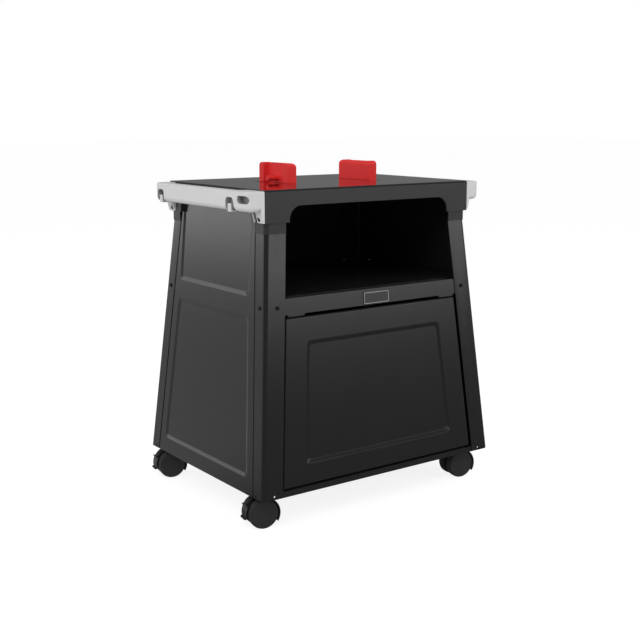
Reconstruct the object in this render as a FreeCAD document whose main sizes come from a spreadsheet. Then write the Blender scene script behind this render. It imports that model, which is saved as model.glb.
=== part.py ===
import FreeCAD, Part
import math
import os
import re
import Sketcher

# Grill cart with storage, in millimetres.
# X runs to the right as one faces the open front, Y runs to the back and Z up.
# The origin is on the floor, in the middle of the space that the whole cart takes up.
# The casters trail to the left, so the cart's own middle lies box_shift to the right.
# Four folded sheet legs splay outwards below a bend, under a moulded top frame that
# holds the glossy cooking top. The upper compartment is open at the front, and the
# lower one has a door that drops down on two pins.

SIZES = {
    # Steel sheet and the gaps between pieces
    "steel_sheet": 1.5,
    "fit_gap": 0.4,
    "slide_gap": 0.3,
    "bearing_gap": 0.05,
    "panel_gap": 2.5,
    # Top frame and the plate that lies in it
    "rim_width": 556,
    "rim_depth": 400,
    "rim_top": 705,
    "frame_wall": 4,
    "tab_margin": 8,
    "socket_bottom": 615,
    "socket_wall": 1.2,
    "socket_overlap": 2,
    "beam_height": 34,
    "arch_half_width": 217,
    "arch_radius": 29,
    "side_arch_half": 150,
    "rim_corner": 2.5,
    "ledge_width": 14,
    "ledge_thickness": 3,
    "plate_thickness": 2.5,
    "stiffener_offset": 190,
    "stiffener_width": 40,
    "stiffener_height": 18,
    # Splayed legs
    "bend_height": 617,
    "foot_height": 69.5,
    "foot_spread_x": 46.6,
    "foot_spread_y": 52,
    "leg_front_width": 49.5,
    "leg_side_width": 37,
    "leg_corner": 8.6,
    "foot_hole_radius": 2.6,
    "foot_hole_height": 75.5,
    "foot_hole_inset_x": 29.5,
    "foot_hole_inset_y": 27,
    # Rails at mid height
    "rail_top": 481.3,
    "rail_depth": 34.5,
    "rail_flange": 30,
    "rail_return": 24,
    "rail_end_inset": 1,
    "stop_tab_inner": 188,
    "stop_tab_width": 42,
    "stop_tab_drop": 4.4,
    "rail_screw_drop": 17.3,
    "rail_screw_x": 256,
    "rail_screw_y": 190.5,
    "rail_room": 1,
    # Shelf, bottom tray and the corner brackets under it
    "shelf_inset": 17,
    "shelf_skirt": 12,
    "tray_top": 81,
    "skirt_bottom": 68.5,
    "floor_half_x": 245,
    "floor_half_y": 165,
    "floor_rise": 1.5,
    "floor_corner": 20,
    "bracket_size": 54,
    "bracket_plate": 3,
    "boss_radius": 10,
    # Side and back panels
    "panel_sheet": 1.2,
    "panel_recess": 0.2,
    "panel_flange": 5,
    "tab_reach": 12,
    "tab_half": 10,
    "tab_overlap": 3,
    "upper_tab_rise": 38.7,
    "upper_tab_high": 590,
    "lower_tab_low": 150,
    "lower_tab_drop": 71.8,
    "emboss_depth": 2.2,
    "emboss_bevel": 8,
    "emboss_corner": 12,
    "side_emboss_half": 147,
    "upper_emboss_gap": 1.7,
    "upper_emboss_top": 680,
    "side_emboss_margin": 23,
    "lower_emboss_gap": 5.8,
    "lower_emboss_bottom": 104,
    "back_emboss_margin": 40,
    "notch_outer": 157,
    "notch_top_inner": 123,
    "notch_bottom_inner": 136,
    "notch_bottom": 638,
    # Door
    "door_top_gap": 6.4,
    "door_bottom": 84.6,
    "door_gap": 4,
    "door_recess": 2.5,
    "door_flange": 14,
    "door_emboss_margin": 59,
    "door_emboss_drop": 52.4,
    "door_emboss_bottom": 128,
    "pivot_rise": 6.4,
    "pivot_depth": 6,
    "pivot_radius": 3,
    "hinge_plate": 3,
    "hinge_inset": 5,
    "hinge_foot": 22,
    "hinge_reach": 4.5,
    "hinge_clear": 9.4,
    "catch_width": 30,
    "catch_depth": 8,
    "catch_height": 14,
    "catch_drop": 1,
    # Badge plate on the front rail
    "badge_width": 71,
    "badge_height": 27,
    "badge_middle": 5,
    "badge_drop": 2.2,
    "badge_thickness": 1.4,
    "badge_corner": 2,
    # Handles
    "handle_reach": 316,
    "handle_height": 44,
    "handle_drop": 2.2,
    "bar_thickness": 17,
    "grip_front_end": 138,
    "grip_rear_end": 170,
    "handle_corner": 14,
    "grip_corner": 15,
    "handle_lower_round": 11,
    "handle_upper_round": 4,
    "hook_half_width": 14.5,
    "hook_rise": 28,
    "hook_round": 10,
    "hook_depth": 12,
    "hook_flare": 9,
    "hook_front_y": 124.5,
    "hook_rear_y": 172.5,
    "tongue_half_width": 6.5,
    "tongue_rise": 15,
    "tongue_drop": 1.8,
    "tongue_thickness": 3.5,
    "tongue_setback": 1,
    "oval_y": 176,
    "oval_half_length": 20,
    "oval_half_height": 8,
    "oval_drop": 19,
    "oval_depth": 14,
    "oval_flat": 0.3,
    "foot_pad_length": 23,
    "foot_pad_reach": 8.5,
    "foot_pad_end": 2.2,
    "foot_pad_margin": 7,
    "front_rib_place": 162.5,
    "rear_rib_place": 171.5,
    "foot_rib_width": 4,
    "handle_screw_y": 184,
    "handle_screw_drop": 60,
    # Grill locks
    "lock_inner": 101,
    "lock_web": 12,
    "lock_depth": 24,
    "lock_half_length": 57,
    "lock_flange_length": 18,
    "lock_height": 44,
    "lock_top_round": 9,
    "peg_radius": 6,
    "peg_rise": 10,
    "peg_reach": 28,
    "neck_inset": 2,
    "neck_thickness": 8,
    "neck_width": 14,
    "neck_place": 48,
    "slot_gap": 0.5,
    "track_depth": 0.4,
    "track_gap": 1,
    "lock_travel": 12,
    "shoe_width": 18,
    "shoe_thickness": 4,
    # Screws
    "screw_head_radius": 4.4,
    "screw_head_height": 2.4,
    "screw_head_round": 1,
    "screw_seat": 2,
    "screw_shank_radius": 2.5,
    "screw_length": 9,
    "screw_clearance": 0.4,
    "handle_screw_length": 12,
    # Casters
    "caster_x": 280,
    "caster_y": 201,
    "caster_heading": -10,
    "wheel_radius": 32.5,
    "wheel_inner": 7.5,
    "wheel_outer": 25.5,
    "wheel_edge": 5,
    "caster_trail": 16,
    "axle_radius": 3,
    "axle_half_length": 17,
    "spine_half_width": 6.5,
    "spine_hub_radius": 9,
    "hood_gap": 1.6,
    "hood_thickness": 2,
    "hood_start": -32,
    "hood_sweep": 134,
    "stem_radius": 4,
    "stem_bottom": 46,
    "collar_radius": 9,
    "collar_top": 69.2,
    "brake_pivot_radius": 27.5,
    "brake_arm_half": 2.5,
    "brake_arm_width": 8,
    "brake_arm_round": 3.5,
    "brake_pin_radius": 1.6,
    "brake_cheek_half": 6.2,
    "brake_shell_inner": 35.2,
    "brake_shell_thickness": 2,
    "brake_shell_half": 13,
    "brake_start": 150,
    "brake_sweep": 45,
    "paddle_reach": 4.5,
    "paddle_sweep": 4,
}

PLACES = {
    "rim_half_x": "rim_width / 2",
    "rim_half_y": "rim_depth / 2",
    "leg_top_x": "rim_half_x - frame_wall - fit_gap",
    "leg_top_y": "rim_half_y - frame_wall - fit_gap",
    "frame_top": "rim_top - plate_thickness",
    "ledge_bottom": "frame_top - ledge_thickness",
    "handle_screw_height": "rim_top - handle_screw_drop",
    "tab_bottom": "handle_screw_height - tab_margin",
    "pad_bottom": "handle_screw_height - foot_pad_margin",
    "handle_bottom": "rim_top - handle_height",
    "handle_top": "rim_top - handle_drop",
    "side_slope": "foot_spread_x / (bend_height - foot_height)",
    "front_slope": "foot_spread_y / (bend_height - foot_height)",
    "side_lean": "atan(side_slope)",
    "front_lean": "atan(front_slope)",
    "side_stretch": "sqrt(1 + side_slope * side_slope)",
    "front_stretch": "sqrt(1 + front_slope * front_slope)",
    "tray_floor": "tray_top - steel_sheet",
    "rail_bottom": "rail_top - rail_depth",
    "rail_screw_height": "rail_top - rail_screw_drop",
    "upper_tab_low": "rail_top + upper_tab_rise",
    "lower_tab_high": "rail_bottom - lower_tab_drop",
    "upper_emboss_bottom": "rail_top + upper_emboss_gap",
    "lower_emboss_top": "rail_bottom - lower_emboss_gap",
    "door_top": "rail_bottom - door_top_gap",
    "door_emboss_top": "door_top - door_emboss_drop",
    "stop_tab_outer": "stop_tab_inner + stop_tab_width",
    "pivot_height": "door_bottom + pivot_rise",
    "pivot_in": "door_recess + pivot_depth",
    "pivot_run": "pivot_rise - (bend_height - door_bottom) * front_stretch",
    "pivot_y": "pivot_in * cos(front_lean) + pivot_run * sin(front_lean) - leg_top_y",
    "pivot_z": "bend_height - pivot_in * sin(front_lean) + pivot_run * cos(front_lean)",
    "door_foot_half": "leg_top_x + side_slope * (bend_height - door_bottom) - leg_front_width - door_gap",
    "pin_end": "door_foot_half + slide_gap",
    "ear_outer": "pin_end - slide_gap - panel_sheet - hinge_inset",
    "hood_outer": "wheel_radius + hood_gap + hood_thickness",
    "brake_outer": "brake_shell_inner + brake_shell_thickness + paddle_reach",
    "left_end": "caster_x + caster_trail + brake_outer",
    "box_shift": "(left_end - leg_top_x - foot_spread_x) / 2",
    "lock_base": "rim_top - track_depth + slide_gap",
    "peg_place": "rim_top + peg_rise",
    "shoe_top": "frame_top - slide_gap",
}

ALIASES = set(SIZES) | set(PLACES)
LEFT = -90
RIGHT = 90
FRONT = 0
BACK = 180

document = FreeCAD.newDocument("grill_cart")
sheet = document.addObject("Spreadsheet::Sheet", "Sizes")
finished = []


def fill_sheet():
    """Write every size, and every place worked out from them, into a named cell."""
    rows = [(name, str(size)) for name, size in SIZES.items()]
    rows += [(name, "=" + text) for name, text in PLACES.items()]
    for row, (name, text) in enumerate(rows, start=1):
        sheet.set(f"A{row}", name)
        sheet.set(f"B{row}", text)
        sheet.setAlias(f"B{row}", name)
    document.recompute()


def formula(text):
    """The expression with each cell's name led by the sheet's."""

    def lead(word):
        return "Sizes." + word[0] if word[0] in ALIASES else word[0]

    return re.sub(r"[a-z][a-z_]*", lead, text)


def number(text):
    """What an expression comes to now."""
    found = sheet.evalExpression(formula(text))
    return float(getattr(found, "Value", found))


def drive(thing, prop, text):
    """Bind a property to an expression."""
    thing.setExpression(prop, formula(text))


def outer_x(height):
    """The legs' outer side face at a height below the bend."""
    return f"(leg_top_x + side_slope * (bend_height - ({height})))"


def outer_y(height):
    """The legs' outer front face at a height below the bend."""
    return f"(leg_top_y + front_slope * (bend_height - ({height})))"


def placing(x, y, z, yaw="0", roll="0"):
    """A placement's expression, turned about X first and then about Z."""
    spot = f"create(<<vector>>; Sizes.box_shift + ({formula(x)}); {formula(y)}; {formula(z)})"
    turn = f"create(<<rotation>>; {formula(yaw)}; 0; {formula(roll)})"
    return f"create(<<placement>>; {spot}; {turn})"


def new_body(label):
    """An empty body that will be one sub-part."""
    body = document.addObject("PartDesign::Body", label)
    body.Label = label
    body.setExpression("Placement", placing("0", "0", "0"))
    finished.append(body)
    return body


def origin_plane(body, plane):
    """One of the body's own origin planes."""
    return next(item for item in body.Origin.OriginFeatures if item.Role == plane + "_Plane")


def new_sketch(body, name, plane, offset):
    """A sketch on an origin plane of the body, moved along its normal."""
    sketch = body.newObject("Sketcher::SketchObject", name)
    sketch.AttachmentSupport = (origin_plane(body, plane), "")
    sketch.MapMode = "FlatFace"
    drive(sketch, "AttachmentOffset.Base.z", offset)
    return sketch


def hold(sketch, geometry, position, corner, tag):
    """Fix a point of a sketch by two driven distances from its origin."""
    for kind, text, axis in (("DistanceX", corner[0], "x"), ("DistanceY", corner[1], "y")):
        index = sketch.addConstraint(Sketcher.Constraint(kind, -1, 1, geometry, position, number(text)))
        sketch.renameConstraint(index, f"{tag}_{axis}")
        drive(sketch, f"Constraints.{tag}_{axis}", text)


def newest(sketch, kind):
    """The index of the sketch's last geometry of one kind."""
    return max(index for index, item in enumerate(sketch.Geometry) if isinstance(item, kind))


def draw_loop(sketch, corners, rounds, tag):
    """Add one closed loop of straight sides, some of its corners rounded."""
    first = sketch.GeometryCount
    count = len(corners)
    spots = [FreeCAD.Vector(number(x), number(y), 0) for x, y in corners]
    for index in range(count):
        sketch.addGeometry(Part.LineSegment(spots[index], spots[(index + 1) % count]), False)
    for index in range(count):
        following = first + (index + 1) % count
        sketch.addConstraint(Sketcher.Constraint("Coincident", first + index, 2, following, 1))
    for index, corner in enumerate(corners):
        geometry, position = first + index, 1
        if index in rounds:
            sketch.fillet(first + (index - 1) % count, 2, number(rounds[index]), True, True)
            arc = newest(sketch, Part.ArcOfCircle)
            radius = sketch.addConstraint(Sketcher.Constraint("Radius", arc, number(rounds[index])))
            sketch.renameConstraint(radius, f"{tag}_{index}_round")
            drive(sketch, f"Constraints.{tag}_{index}_round", rounds[index])
            geometry, position = newest(sketch, Part.Point), 1
        hold(sketch, geometry, position, corner, f"{tag}_{index}")


def outline(body, name, plane, offset, loops, rounds=None):
    """A sketch of closed loops; rounds gives the radius at some corners of each."""
    sketch = new_sketch(body, name, plane, offset)
    for index, corners in enumerate(loops):
        draw_loop(sketch, corners, rounds or {}, f"loop_{index}")
    document.recompute([sketch])
    return sketch


def circles(body, name, plane, offset, centres, radius):
    """A sketch of equal circles."""
    sketch = new_sketch(body, name, plane, offset)
    for index, (x, y) in enumerate(centres):
        middle = FreeCAD.Vector(number(x), number(y), 0)
        circle = sketch.addGeometry(Part.Circle(middle, FreeCAD.Vector(0, 0, 1), number(radius)), False)
        size = sketch.addConstraint(Sketcher.Constraint("Radius", circle, number(radius)))
        sketch.renameConstraint(size, f"radius_{index}")
        drive(sketch, f"Constraints.radius_{index}", radius)
        hold(sketch, circle, 3, (x, y), f"centre_{index}")
    return sketch


def rectangle(half_x, half_y, x="0", y="0"):
    """The corners of a rectangle about a point."""
    return [
        (f"{x} - ({half_x})", f"{y} - ({half_y})"),
        (f"{x} + ({half_x})", f"{y} - ({half_y})"),
        (f"{x} + ({half_x})", f"{y} + ({half_y})"),
        (f"{x} - ({half_x})", f"{y} + ({half_y})"),
    ]


def span(left, right, low, high):
    """The corners of a rectangle between four edges."""
    return [(left, low), (right, low), (right, high), (left, high)]


def pad(body, name, sketch, length, backwards=False, both=False, taper=None):
    """Add material along the sketch's normal."""
    feature = body.newObject("PartDesign::Pad", name)
    feature.Profile = sketch
    feature.Reversed = backwards
    feature.Midplane = both
    drive(feature, "Length", length)
    if taper:
        drive(feature, "TaperAngle", taper)
    document.recompute([feature])
    return feature


def pocket(body, name, sketch, length=None, backwards=False, taper=None):
    """Take material away against the sketch's normal, or both ways right through."""
    feature = body.newObject("PartDesign::Pocket", name)
    feature.Profile = sketch
    feature.Reversed = backwards
    if length is None:
        feature.Type = "ThroughAll"
        feature.Midplane = True
    else:
        drive(feature, "Length", length)
    if taper:
        drive(feature, "TaperAngle", taper)
    document.recompute([feature])
    return feature


def round_edges(body, name, radius, wanted):
    """Fillet the edges of the body's tip that pass a test."""
    base = body.Tip
    names = [f"Edge{index}" for index, edge in enumerate(base.Shape.Edges, start=1) if wanted(edge)]
    if not names:
        raise RuntimeError(f"{body.Label}: {name} finds no edge")
    feature = body.newObject("PartDesign::Fillet", name)
    feature.Base = (base, names)
    drive(feature, "Radius", radius)
    document.recompute([feature])
    return feature


def near(first, second):
    """Two measures are the same to a hundredth of a millimetre."""
    return abs(first - second) < 0.01


def mirror_image(label, source):
    """The right-hand twin of a left-hand piece."""
    twin = document.addObject("Part::Mirroring", label)
    twin.Label = label
    twin.Source = source
    twin.Normal = FreeCAD.Vector(1, 0, 0)
    drive(twin, "Base.x", "box_shift")
    finished.append(twin)
    return twin


# Top frame, plate and stiffeners


def make_top_frame():
    """The moulded frame: a beam all round with a tab and a leg socket down each corner."""
    body = new_body("top_frame")
    depth = "(frame_top - tab_bottom)"
    inner = rectangle("rim_half_x - frame_wall", "rim_half_y - frame_wall")
    opening = rectangle("rim_half_x - frame_wall - ledge_width", "rim_half_y - frame_wall - ledge_width")
    rim = outline(body, "rim", "XY", "tab_bottom", [rectangle("rim_half_x", "rim_half_y")])
    pad(body, "rim_block", rim, depth)
    ring = outline(body, "ring", "XY", "frame_top", [opening])
    pocket(body, "ledge_opening", ring, depth)
    hollow = outline(body, "hollow", "XY", "ledge_bottom", [inner])
    pocket(body, "underside", hollow, depth)
    arch_top = "rim_top - beam_height"
    below = "socket_bottom"
    rounds = {2: "arch_radius", 3: "arch_radius"}
    front = span("-arch_half_width", "arch_half_width", below, arch_top)
    pocket(body, "front_and_back_arch", outline(body, "front_arch", "XZ", "0", [front], rounds))
    side = span("-side_arch_half", "side_arch_half", below, arch_top)
    pocket(body, "side_arches", outline(body, "side_arch", "YZ", "0", [side], rounds))
    add_leg_sockets(body)
    places = [("handle_screw_y", "handle_screw_height"), ("-handle_screw_y", "handle_screw_height")]
    holes = circles(body, "holes", "YZ", "0", places, "screw_shank_radius + screw_clearance")
    pocket(body, "handle_screw_holes", holes)
    half_x, half_y = number("rim_half_x"), number("rim_half_y")

    def outer_corner(edge):
        return all(near(abs(v.X), half_x) and near(abs(v.Y), half_y) for v in edge.Vertexes)

    round_edges(body, "rim_corners", "rim_corner", outer_corner)


def add_leg_sockets(body):
    """A thin lip round each leg that carries the frame's tabs on downwards."""
    inner_x, inner_y = "(rim_half_x - frame_wall)", "(rim_half_y - frame_wall)"
    rounds = {0: "leg_corner + socket_wall", 3: "leg_corner + fit_gap"}
    for name, side, end in (("fl", "-", "-"), ("fr", "", "-"), ("bl", "-", ""), ("br", "", "")):
        inward_x = "-" if side == "" else "+"
        inward_y = "-" if end == "" else "+"
        face_x, face_y = f"{side}{inner_x}", f"{end}{inner_y}"
        outer_corner = (f"{side}({inner_x} + socket_wall)", f"{end}({inner_y} + socket_wall)")
        far_x = f"{face_x} {inward_x} leg_front_width"
        far_y = f"{face_y} {inward_y} leg_side_width"
        loop = [
            outer_corner,
            (far_x, outer_corner[1]),
            (far_x, face_y),
            (face_x, face_y),
            (face_x, far_y),
            (outer_corner[0], far_y),
        ]
        socket = outline(body, f"socket_{name}", "XY", "socket_bottom", [loop], rounds)
        pad(body, f"leg_socket_{name}", socket, "tab_bottom - socket_bottom + socket_overlap")


def lock_slots():
    """The four slots in the plate that the grill locks' necks slide in."""
    near_edge = "lock_inner + neck_inset - slot_gap"
    far_edge = "lock_inner + neck_inset + neck_thickness + lock_travel + slot_gap"
    half = "neck_width / 2 + slot_gap"
    slots = []
    for side in ("", "-"):
        for end in ("", "-"):
            edges = (f"{side}({near_edge})", f"{side}({far_edge})")
            left, right = edges if side == "" else edges[::-1]
            middle = f"{end}neck_place"
            slots.append(span(left, right, f"{middle} - ({half})", f"{middle} + ({half})"))
    return slots


def make_top_plate():
    """The glossy plate on the frame, with a shallow track and two slots for each grill lock."""
    body = new_body("top_plate")
    size = rectangle("rim_half_x - fit_gap", "rim_half_y")
    corners = {corner: "rim_corner" for corner in range(4)}
    plan = outline(body, "plate_outline", "XY", "frame_top", [size], corners)
    pad(body, "plate", plan, "plate_thickness")
    near_edge = "lock_inner - track_gap"
    far_edge = "lock_inner + lock_depth + lock_travel + track_gap"
    half = "lock_half_length + track_gap"
    tracks = [
        span(near_edge, far_edge, f"-({half})", half),
        span(f"-({far_edge})", f"-({near_edge})", f"-({half})", half),
    ]
    pocket(body, "lock_tracks", outline(body, "tracks", "XY", "rim_top", tracks), "track_depth")
    slots = outline(body, "slots", "XY", "rim_top", lock_slots())
    pocket(body, "lock_slots", slots, "plate_thickness")


def make_stiffener(label, side):
    """A channel under the plate, open side up."""
    body = new_body(label)
    top = "frame_top"
    middle = f"{side}stiffener_offset"
    left = f"{middle} - stiffener_width / 2"
    right = f"{middle} + stiffener_width / 2"
    channel = [
        (left, top),
        (left, f"{top} - stiffener_height"),
        (right, f"{top} - stiffener_height"),
        (right, top),
        (f"{right} - steel_sheet", top),
        (f"{right} - steel_sheet", f"{top} - stiffener_height + steel_sheet"),
        (f"{left} + steel_sheet", f"{top} - stiffener_height + steel_sheet"),
        (f"{left} + steel_sheet", top),
    ]
    section = outline(body, "section", "XZ", "0", [channel])
    length = "rim_depth - 2 * (frame_wall + ledge_width + fit_gap)"
    pad(body, "channel", section, length, both=True)


# Legs


def make_leg(label, side, end):
    """A folded corner leg: upright in the frame, splayed both ways below the bend."""
    body = new_body(label)
    face_x = f"{side}leg_top_x"
    face_y = f"{end}leg_top_y"
    inward_x = "-" if side == "" else "+"
    inward_y = "-" if end == "" else "+"
    corners = [
        (face_x, face_y),
        (f"{face_x} {inward_x} leg_front_width", face_y),
        (f"{face_x} {inward_x} leg_front_width", f"{face_y} {inward_y} steel_sheet"),
        (f"{face_x} {inward_x} steel_sheet", f"{face_y} {inward_y} steel_sheet"),
        (f"{face_x} {inward_x} steel_sheet", f"{face_y} {inward_y} leg_side_width"),
        (face_x, f"{face_y} {inward_y} leg_side_width"),
    ]
    rounds = {0: "leg_corner", 3: "leg_corner - steel_sheet"}
    profile = outline(body, "profile", "XY", "bend_height", [corners], rounds)
    pad(body, "upright", profile, "ledge_bottom - bend_height")
    splay = body.newObject("PartDesign::Pad", "splay")
    splay.Profile = profile
    splay.UseCustomVector = True
    splay.AlongSketchNormal = True
    drive(splay, "Direction.x", f"{side}foot_spread_x")
    drive(splay, "Direction.y", f"{end}foot_spread_y")
    drive(splay, "Direction.z", "foot_height - bend_height")
    drive(splay, "Length", "bend_height - foot_height")
    document.recompute([splay])
    hole = "screw_shank_radius + screw_clearance"
    front_places = [(f"{side}rail_screw_x", "rail_screw_height")]
    front_screw = circles(body, "front_screw", "XZ", "0", front_places, hole)
    pocket(body, "front_screw_hole", front_screw)
    side_places = [
        (f"{end}rail_screw_y", "rail_screw_height"),
        (f"{end}handle_screw_y", "handle_screw_height"),
    ]
    pocket(body, "side_screw_holes", circles(body, "side_screws", "YZ", "0", side_places, hole))
    foot_x = f"{side}({outer_x('foot_hole_height')} - foot_hole_inset_x)"
    foot_y = f"{end}({outer_y('foot_hole_height')} - foot_hole_inset_y)"
    front_foot = circles(body, "front_foot", "XZ", "0", [(foot_x, "foot_hole_height")], "foot_hole_radius")
    pocket(body, "front_foot_hole", front_foot)
    side_foot = circles(body, "side_foot", "YZ", "0", [(foot_y, "foot_hole_height")], "foot_hole_radius")
    pocket(body, "side_foot_hole", side_foot)


# Rails at mid height


def make_rail(label, plane, side, face, half_length, flange_half, screws, tabs=False):
    """A rail behind two legs' faces: a leaning web, a shelf flange and a lower return."""
    body = new_body(label)
    inward = "-" if side == "" else "+"
    section_plane = "YZ" if plane == "XZ" else "XZ"

    def web_face(height, sheets):
        return f"{side}{face(height)} {inward} {sheets} * steel_sheet"

    foot = "rail_bottom - stop_tab_drop" if tabs else "rail_bottom"
    web = [
        (web_face("rail_top", 1), "rail_top"),
        (web_face(foot, 1), foot),
        (web_face(foot, 2), foot),
        (web_face("rail_top", 2), "rail_top"),
    ]
    web_section = outline(body, "web_section", section_plane, "0", [web])
    pad(body, "web", web_section, f"2 * ({half_length})", both=True)
    top_face = web_face("rail_top", 1)
    flange = [
        (top_face, "rail_top"),
        (f"{top_face} {inward} rail_flange", "rail_top"),
        (f"{top_face} {inward} rail_flange", "rail_top - steel_sheet"),
        (top_face, "rail_top - steel_sheet"),
    ]
    shelf_section = outline(body, "flange_section", section_plane, "0", [flange])
    pad(body, "shelf_flange", shelf_section, f"2 * ({flange_half})", both=True)
    low_face = web_face("(rail_bottom + steel_sheet)", 1)
    low = [
        (low_face, "rail_bottom"),
        (f"{low_face} {inward} rail_return", "rail_bottom"),
        (f"{low_face} {inward} rail_return", "rail_bottom + steel_sheet"),
        (low_face, "rail_bottom + steel_sheet"),
    ]
    return_half = "stop_tab_inner" if tabs else flange_half
    return_section = outline(body, "return_section", section_plane, "0", [low])
    pad(body, "lower_return", return_section, f"2 * ({return_half})", both=True)
    if tabs:
        below = "rail_bottom - 2 * stop_tab_drop"
        cuts = [
            span("-stop_tab_inner", "stop_tab_inner", below, "rail_bottom"),
            span("stop_tab_outer", "rim_half_x", below, "rail_bottom"),
            span("-rim_half_x", "-stop_tab_outer", below, "rail_bottom"),
        ]
        pocket(body, "between_stop_tabs", outline(body, "tab_gaps", plane, "0", cuts))
    hole = "screw_shank_radius + screw_clearance"
    places = [(f"-{screws}", "rail_screw_height"), (screws, "rail_screw_height")]
    pocket(body, "screw_holes", circles(body, "screws", plane, "0", places, hole))


def make_rails():
    """One rail across the front, one across the back and one along each side."""
    long_half = "(rail_screw_x + screw_head_radius + rail_end_inset)"
    long_flange = "(leg_top_x - leg_front_width - rail_end_inset)"
    make_rail("front_rail", "XZ", "-", outer_y, long_half, long_flange, "rail_screw_x", tabs=True)
    make_rail("back_rail", "XZ", "", outer_y, long_half, long_flange, "rail_screw_x")
    short_half = f"({outer_y('rail_top')} - leg_corner - rail_end_inset / 2)"
    short_flange = "(leg_top_y - leg_side_width - rail_end_inset)"
    make_rail("side_rail_left", "YZ", "-", outer_x, short_half, short_flange, "rail_screw_y")
    make_rail("side_rail_right", "YZ", "", outer_x, short_half, short_flange, "rail_screw_y")


# Shelf, tray and corner brackets


def make_middle_shelf():
    """The floor of the open compartment, lying on the rails' flanges."""
    body = new_body("middle_shelf")
    half_x = f"{outer_x('rail_top')} - shelf_inset"
    half_y = f"{outer_y('rail_top')} - shelf_inset"
    plate = outline(body, "plate", "XY", "rail_top", [rectangle(half_x, half_y)])
    pad(body, "shelf", plate, "steel_sheet")
    skirt_x = f"{outer_x('rail_top')} - rail_flange - 2 * steel_sheet - fit_gap"
    skirt_y = f"{outer_y('rail_top')} - rail_flange - 2 * steel_sheet - fit_gap"
    skirt = [
        rectangle(skirt_x, skirt_y),
        rectangle(f"{skirt_x} - steel_sheet", f"{skirt_y} - steel_sheet"),
    ]
    pad(body, "skirt", outline(body, "skirt_ring", "XY", "rail_top", skirt), "shelf_skirt", backwards=True)


def tray_ring(body, name, height, inset):
    """The tray's outline at a height, inside the legs' folds."""
    half_x = f"{outer_x(height)} - steel_sheet - slide_gap - ({inset})"
    half_y = f"{outer_y(height)} - steel_sheet - slide_gap - ({inset})"
    rounds = {corner: f"leg_corner - ({inset})" for corner in range(4)}
    return outline(body, name, "XY", height, [rectangle(half_x, half_y)], rounds)


def make_base_tray():
    """The bottom: a floor with a leaning skirt all round."""
    body = new_body("base_tray")
    shell = body.newObject("PartDesign::AdditiveLoft", "shell")
    shell.Profile = tray_ring(body, "outer_low", "skirt_bottom", "0")
    shell.Sections = [tray_ring(body, "outer_high", "tray_top", "0")]
    shell.Ruled = True
    document.recompute([shell])
    hollow = body.newObject("PartDesign::SubtractiveLoft", "hollow")
    hollow.Profile = tray_ring(body, "inner_low", "skirt_bottom", "steel_sheet")
    hollow.Sections = [tray_ring(body, "inner_high", "tray_floor", "steel_sheet")]
    hollow.Ruled = True
    document.recompute([hollow])
    rounds = {corner: "floor_corner" for corner in range(4)}
    field = outline(body, "field", "XY", "tray_top", [rectangle("floor_half_x", "floor_half_y")], rounds)
    pad(body, "raised_floor", field, "floor_rise")
    inside = rectangle("floor_half_x - steel_sheet", "floor_half_y - steel_sheet")
    rounds = {corner: "floor_corner - steel_sheet" for corner in range(4)}
    under = outline(body, "field_underside", "XY", "tray_floor", [inside], rounds)
    pocket(body, "floor_hollow", under, "floor_rise", backwards=True)
    foot_x = f"({outer_x('foot_hole_height')} - foot_hole_inset_x)"
    foot_y = f"({outer_y('foot_hole_height')} - foot_hole_inset_y)"
    for plane, place in (("XZ", foot_x), ("YZ", foot_y)):
        places = [(f"-{place}", "foot_hole_height"), (place, "foot_hole_height")]
        holes = circles(body, f"foot_holes_{plane}", plane, "0", places, "foot_hole_radius")
        pocket(body, f"foot_hole_pair_{plane}", holes)


def make_caster_bracket(label, side, end):
    """A plate under the tray with a boss that grips a caster's stem."""
    body = new_body(label)
    x, y = f"{side}caster_x", f"{end}caster_y"
    corners = rectangle("bracket_size / 2", "bracket_size / 2", x, y)
    rounds = {corner: "boss_radius / 2" for corner in range(4)}
    plate = outline(body, "plate", "XY", "tray_floor", [corners], rounds)
    pad(body, "bracket_plate", plate, "bracket_plate", backwards=True)
    boss = circles(body, "boss", "XY", "tray_floor", [(x, y)], "boss_radius")
    pad(body, "stem_boss", boss, "tray_floor - foot_height", backwards=True)
    bore = circles(body, "bore", "XY", "tray_floor", [(x, y)], "stem_radius")
    pocket(body, "stem_bore", bore, "tray_floor - foot_height")


# Leaning panels


def lean_body(label, heading, face_x, face_y, lean):
    """A body whose XZ plane lies in a leaning face, its origin at the bend."""
    body = new_body(label)
    body.setExpression("Placement", placing(face_x, face_y, "bend_height", str(heading), f"-{lean}"))
    return body


def run(height, stretch):
    """A height as a distance in the leaning face, downwards from the bend."""
    return f"-((bend_height - ({height})) * {stretch})"


def trapezoid(half_width, top, bottom, stretch):
    """The corners of a panel whose half width is known at every height."""
    return [
        (f"-{half_width(bottom)}", run(bottom, stretch)),
        (half_width(bottom), run(bottom, stretch)),
        (half_width(top), run(top, stretch)),
        (f"-{half_width(top)}", run(top, stretch)),
    ]


def press_emboss(body, name, corners, recess, sheet_name):
    """Press a flat-bottomed recess with bevelled sides into a sheet."""
    taper = "-atan(emboss_bevel / emboss_depth)"
    rounds = {corner: "emboss_corner" for corner in range(4)}
    swell = f"{sheet_name} / 2"
    grown = [
        (f"{corners[0][0]} - {swell}", f"{corners[0][1]} - {swell}"),
        (f"{corners[1][0]} + {swell}", f"{corners[1][1]} - {swell}"),
        (f"{corners[2][0]} + {swell}", f"{corners[2][1]} + {swell}"),
        (f"{corners[3][0]} - {swell}", f"{corners[3][1]} + {swell}"),
    ]
    back = outline(body, f"{name}_back", "XZ", f"-({recess} + {sheet_name})", [grown], rounds)
    pad(body, f"{name}_swell", back, "emboss_depth", backwards=True, taper=taper)
    face = outline(body, f"{name}_face", "XZ", f"-({recess})", [corners], rounds)
    pocket(body, f"{name}_recess", face, "emboss_depth", taper=taper)


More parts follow.
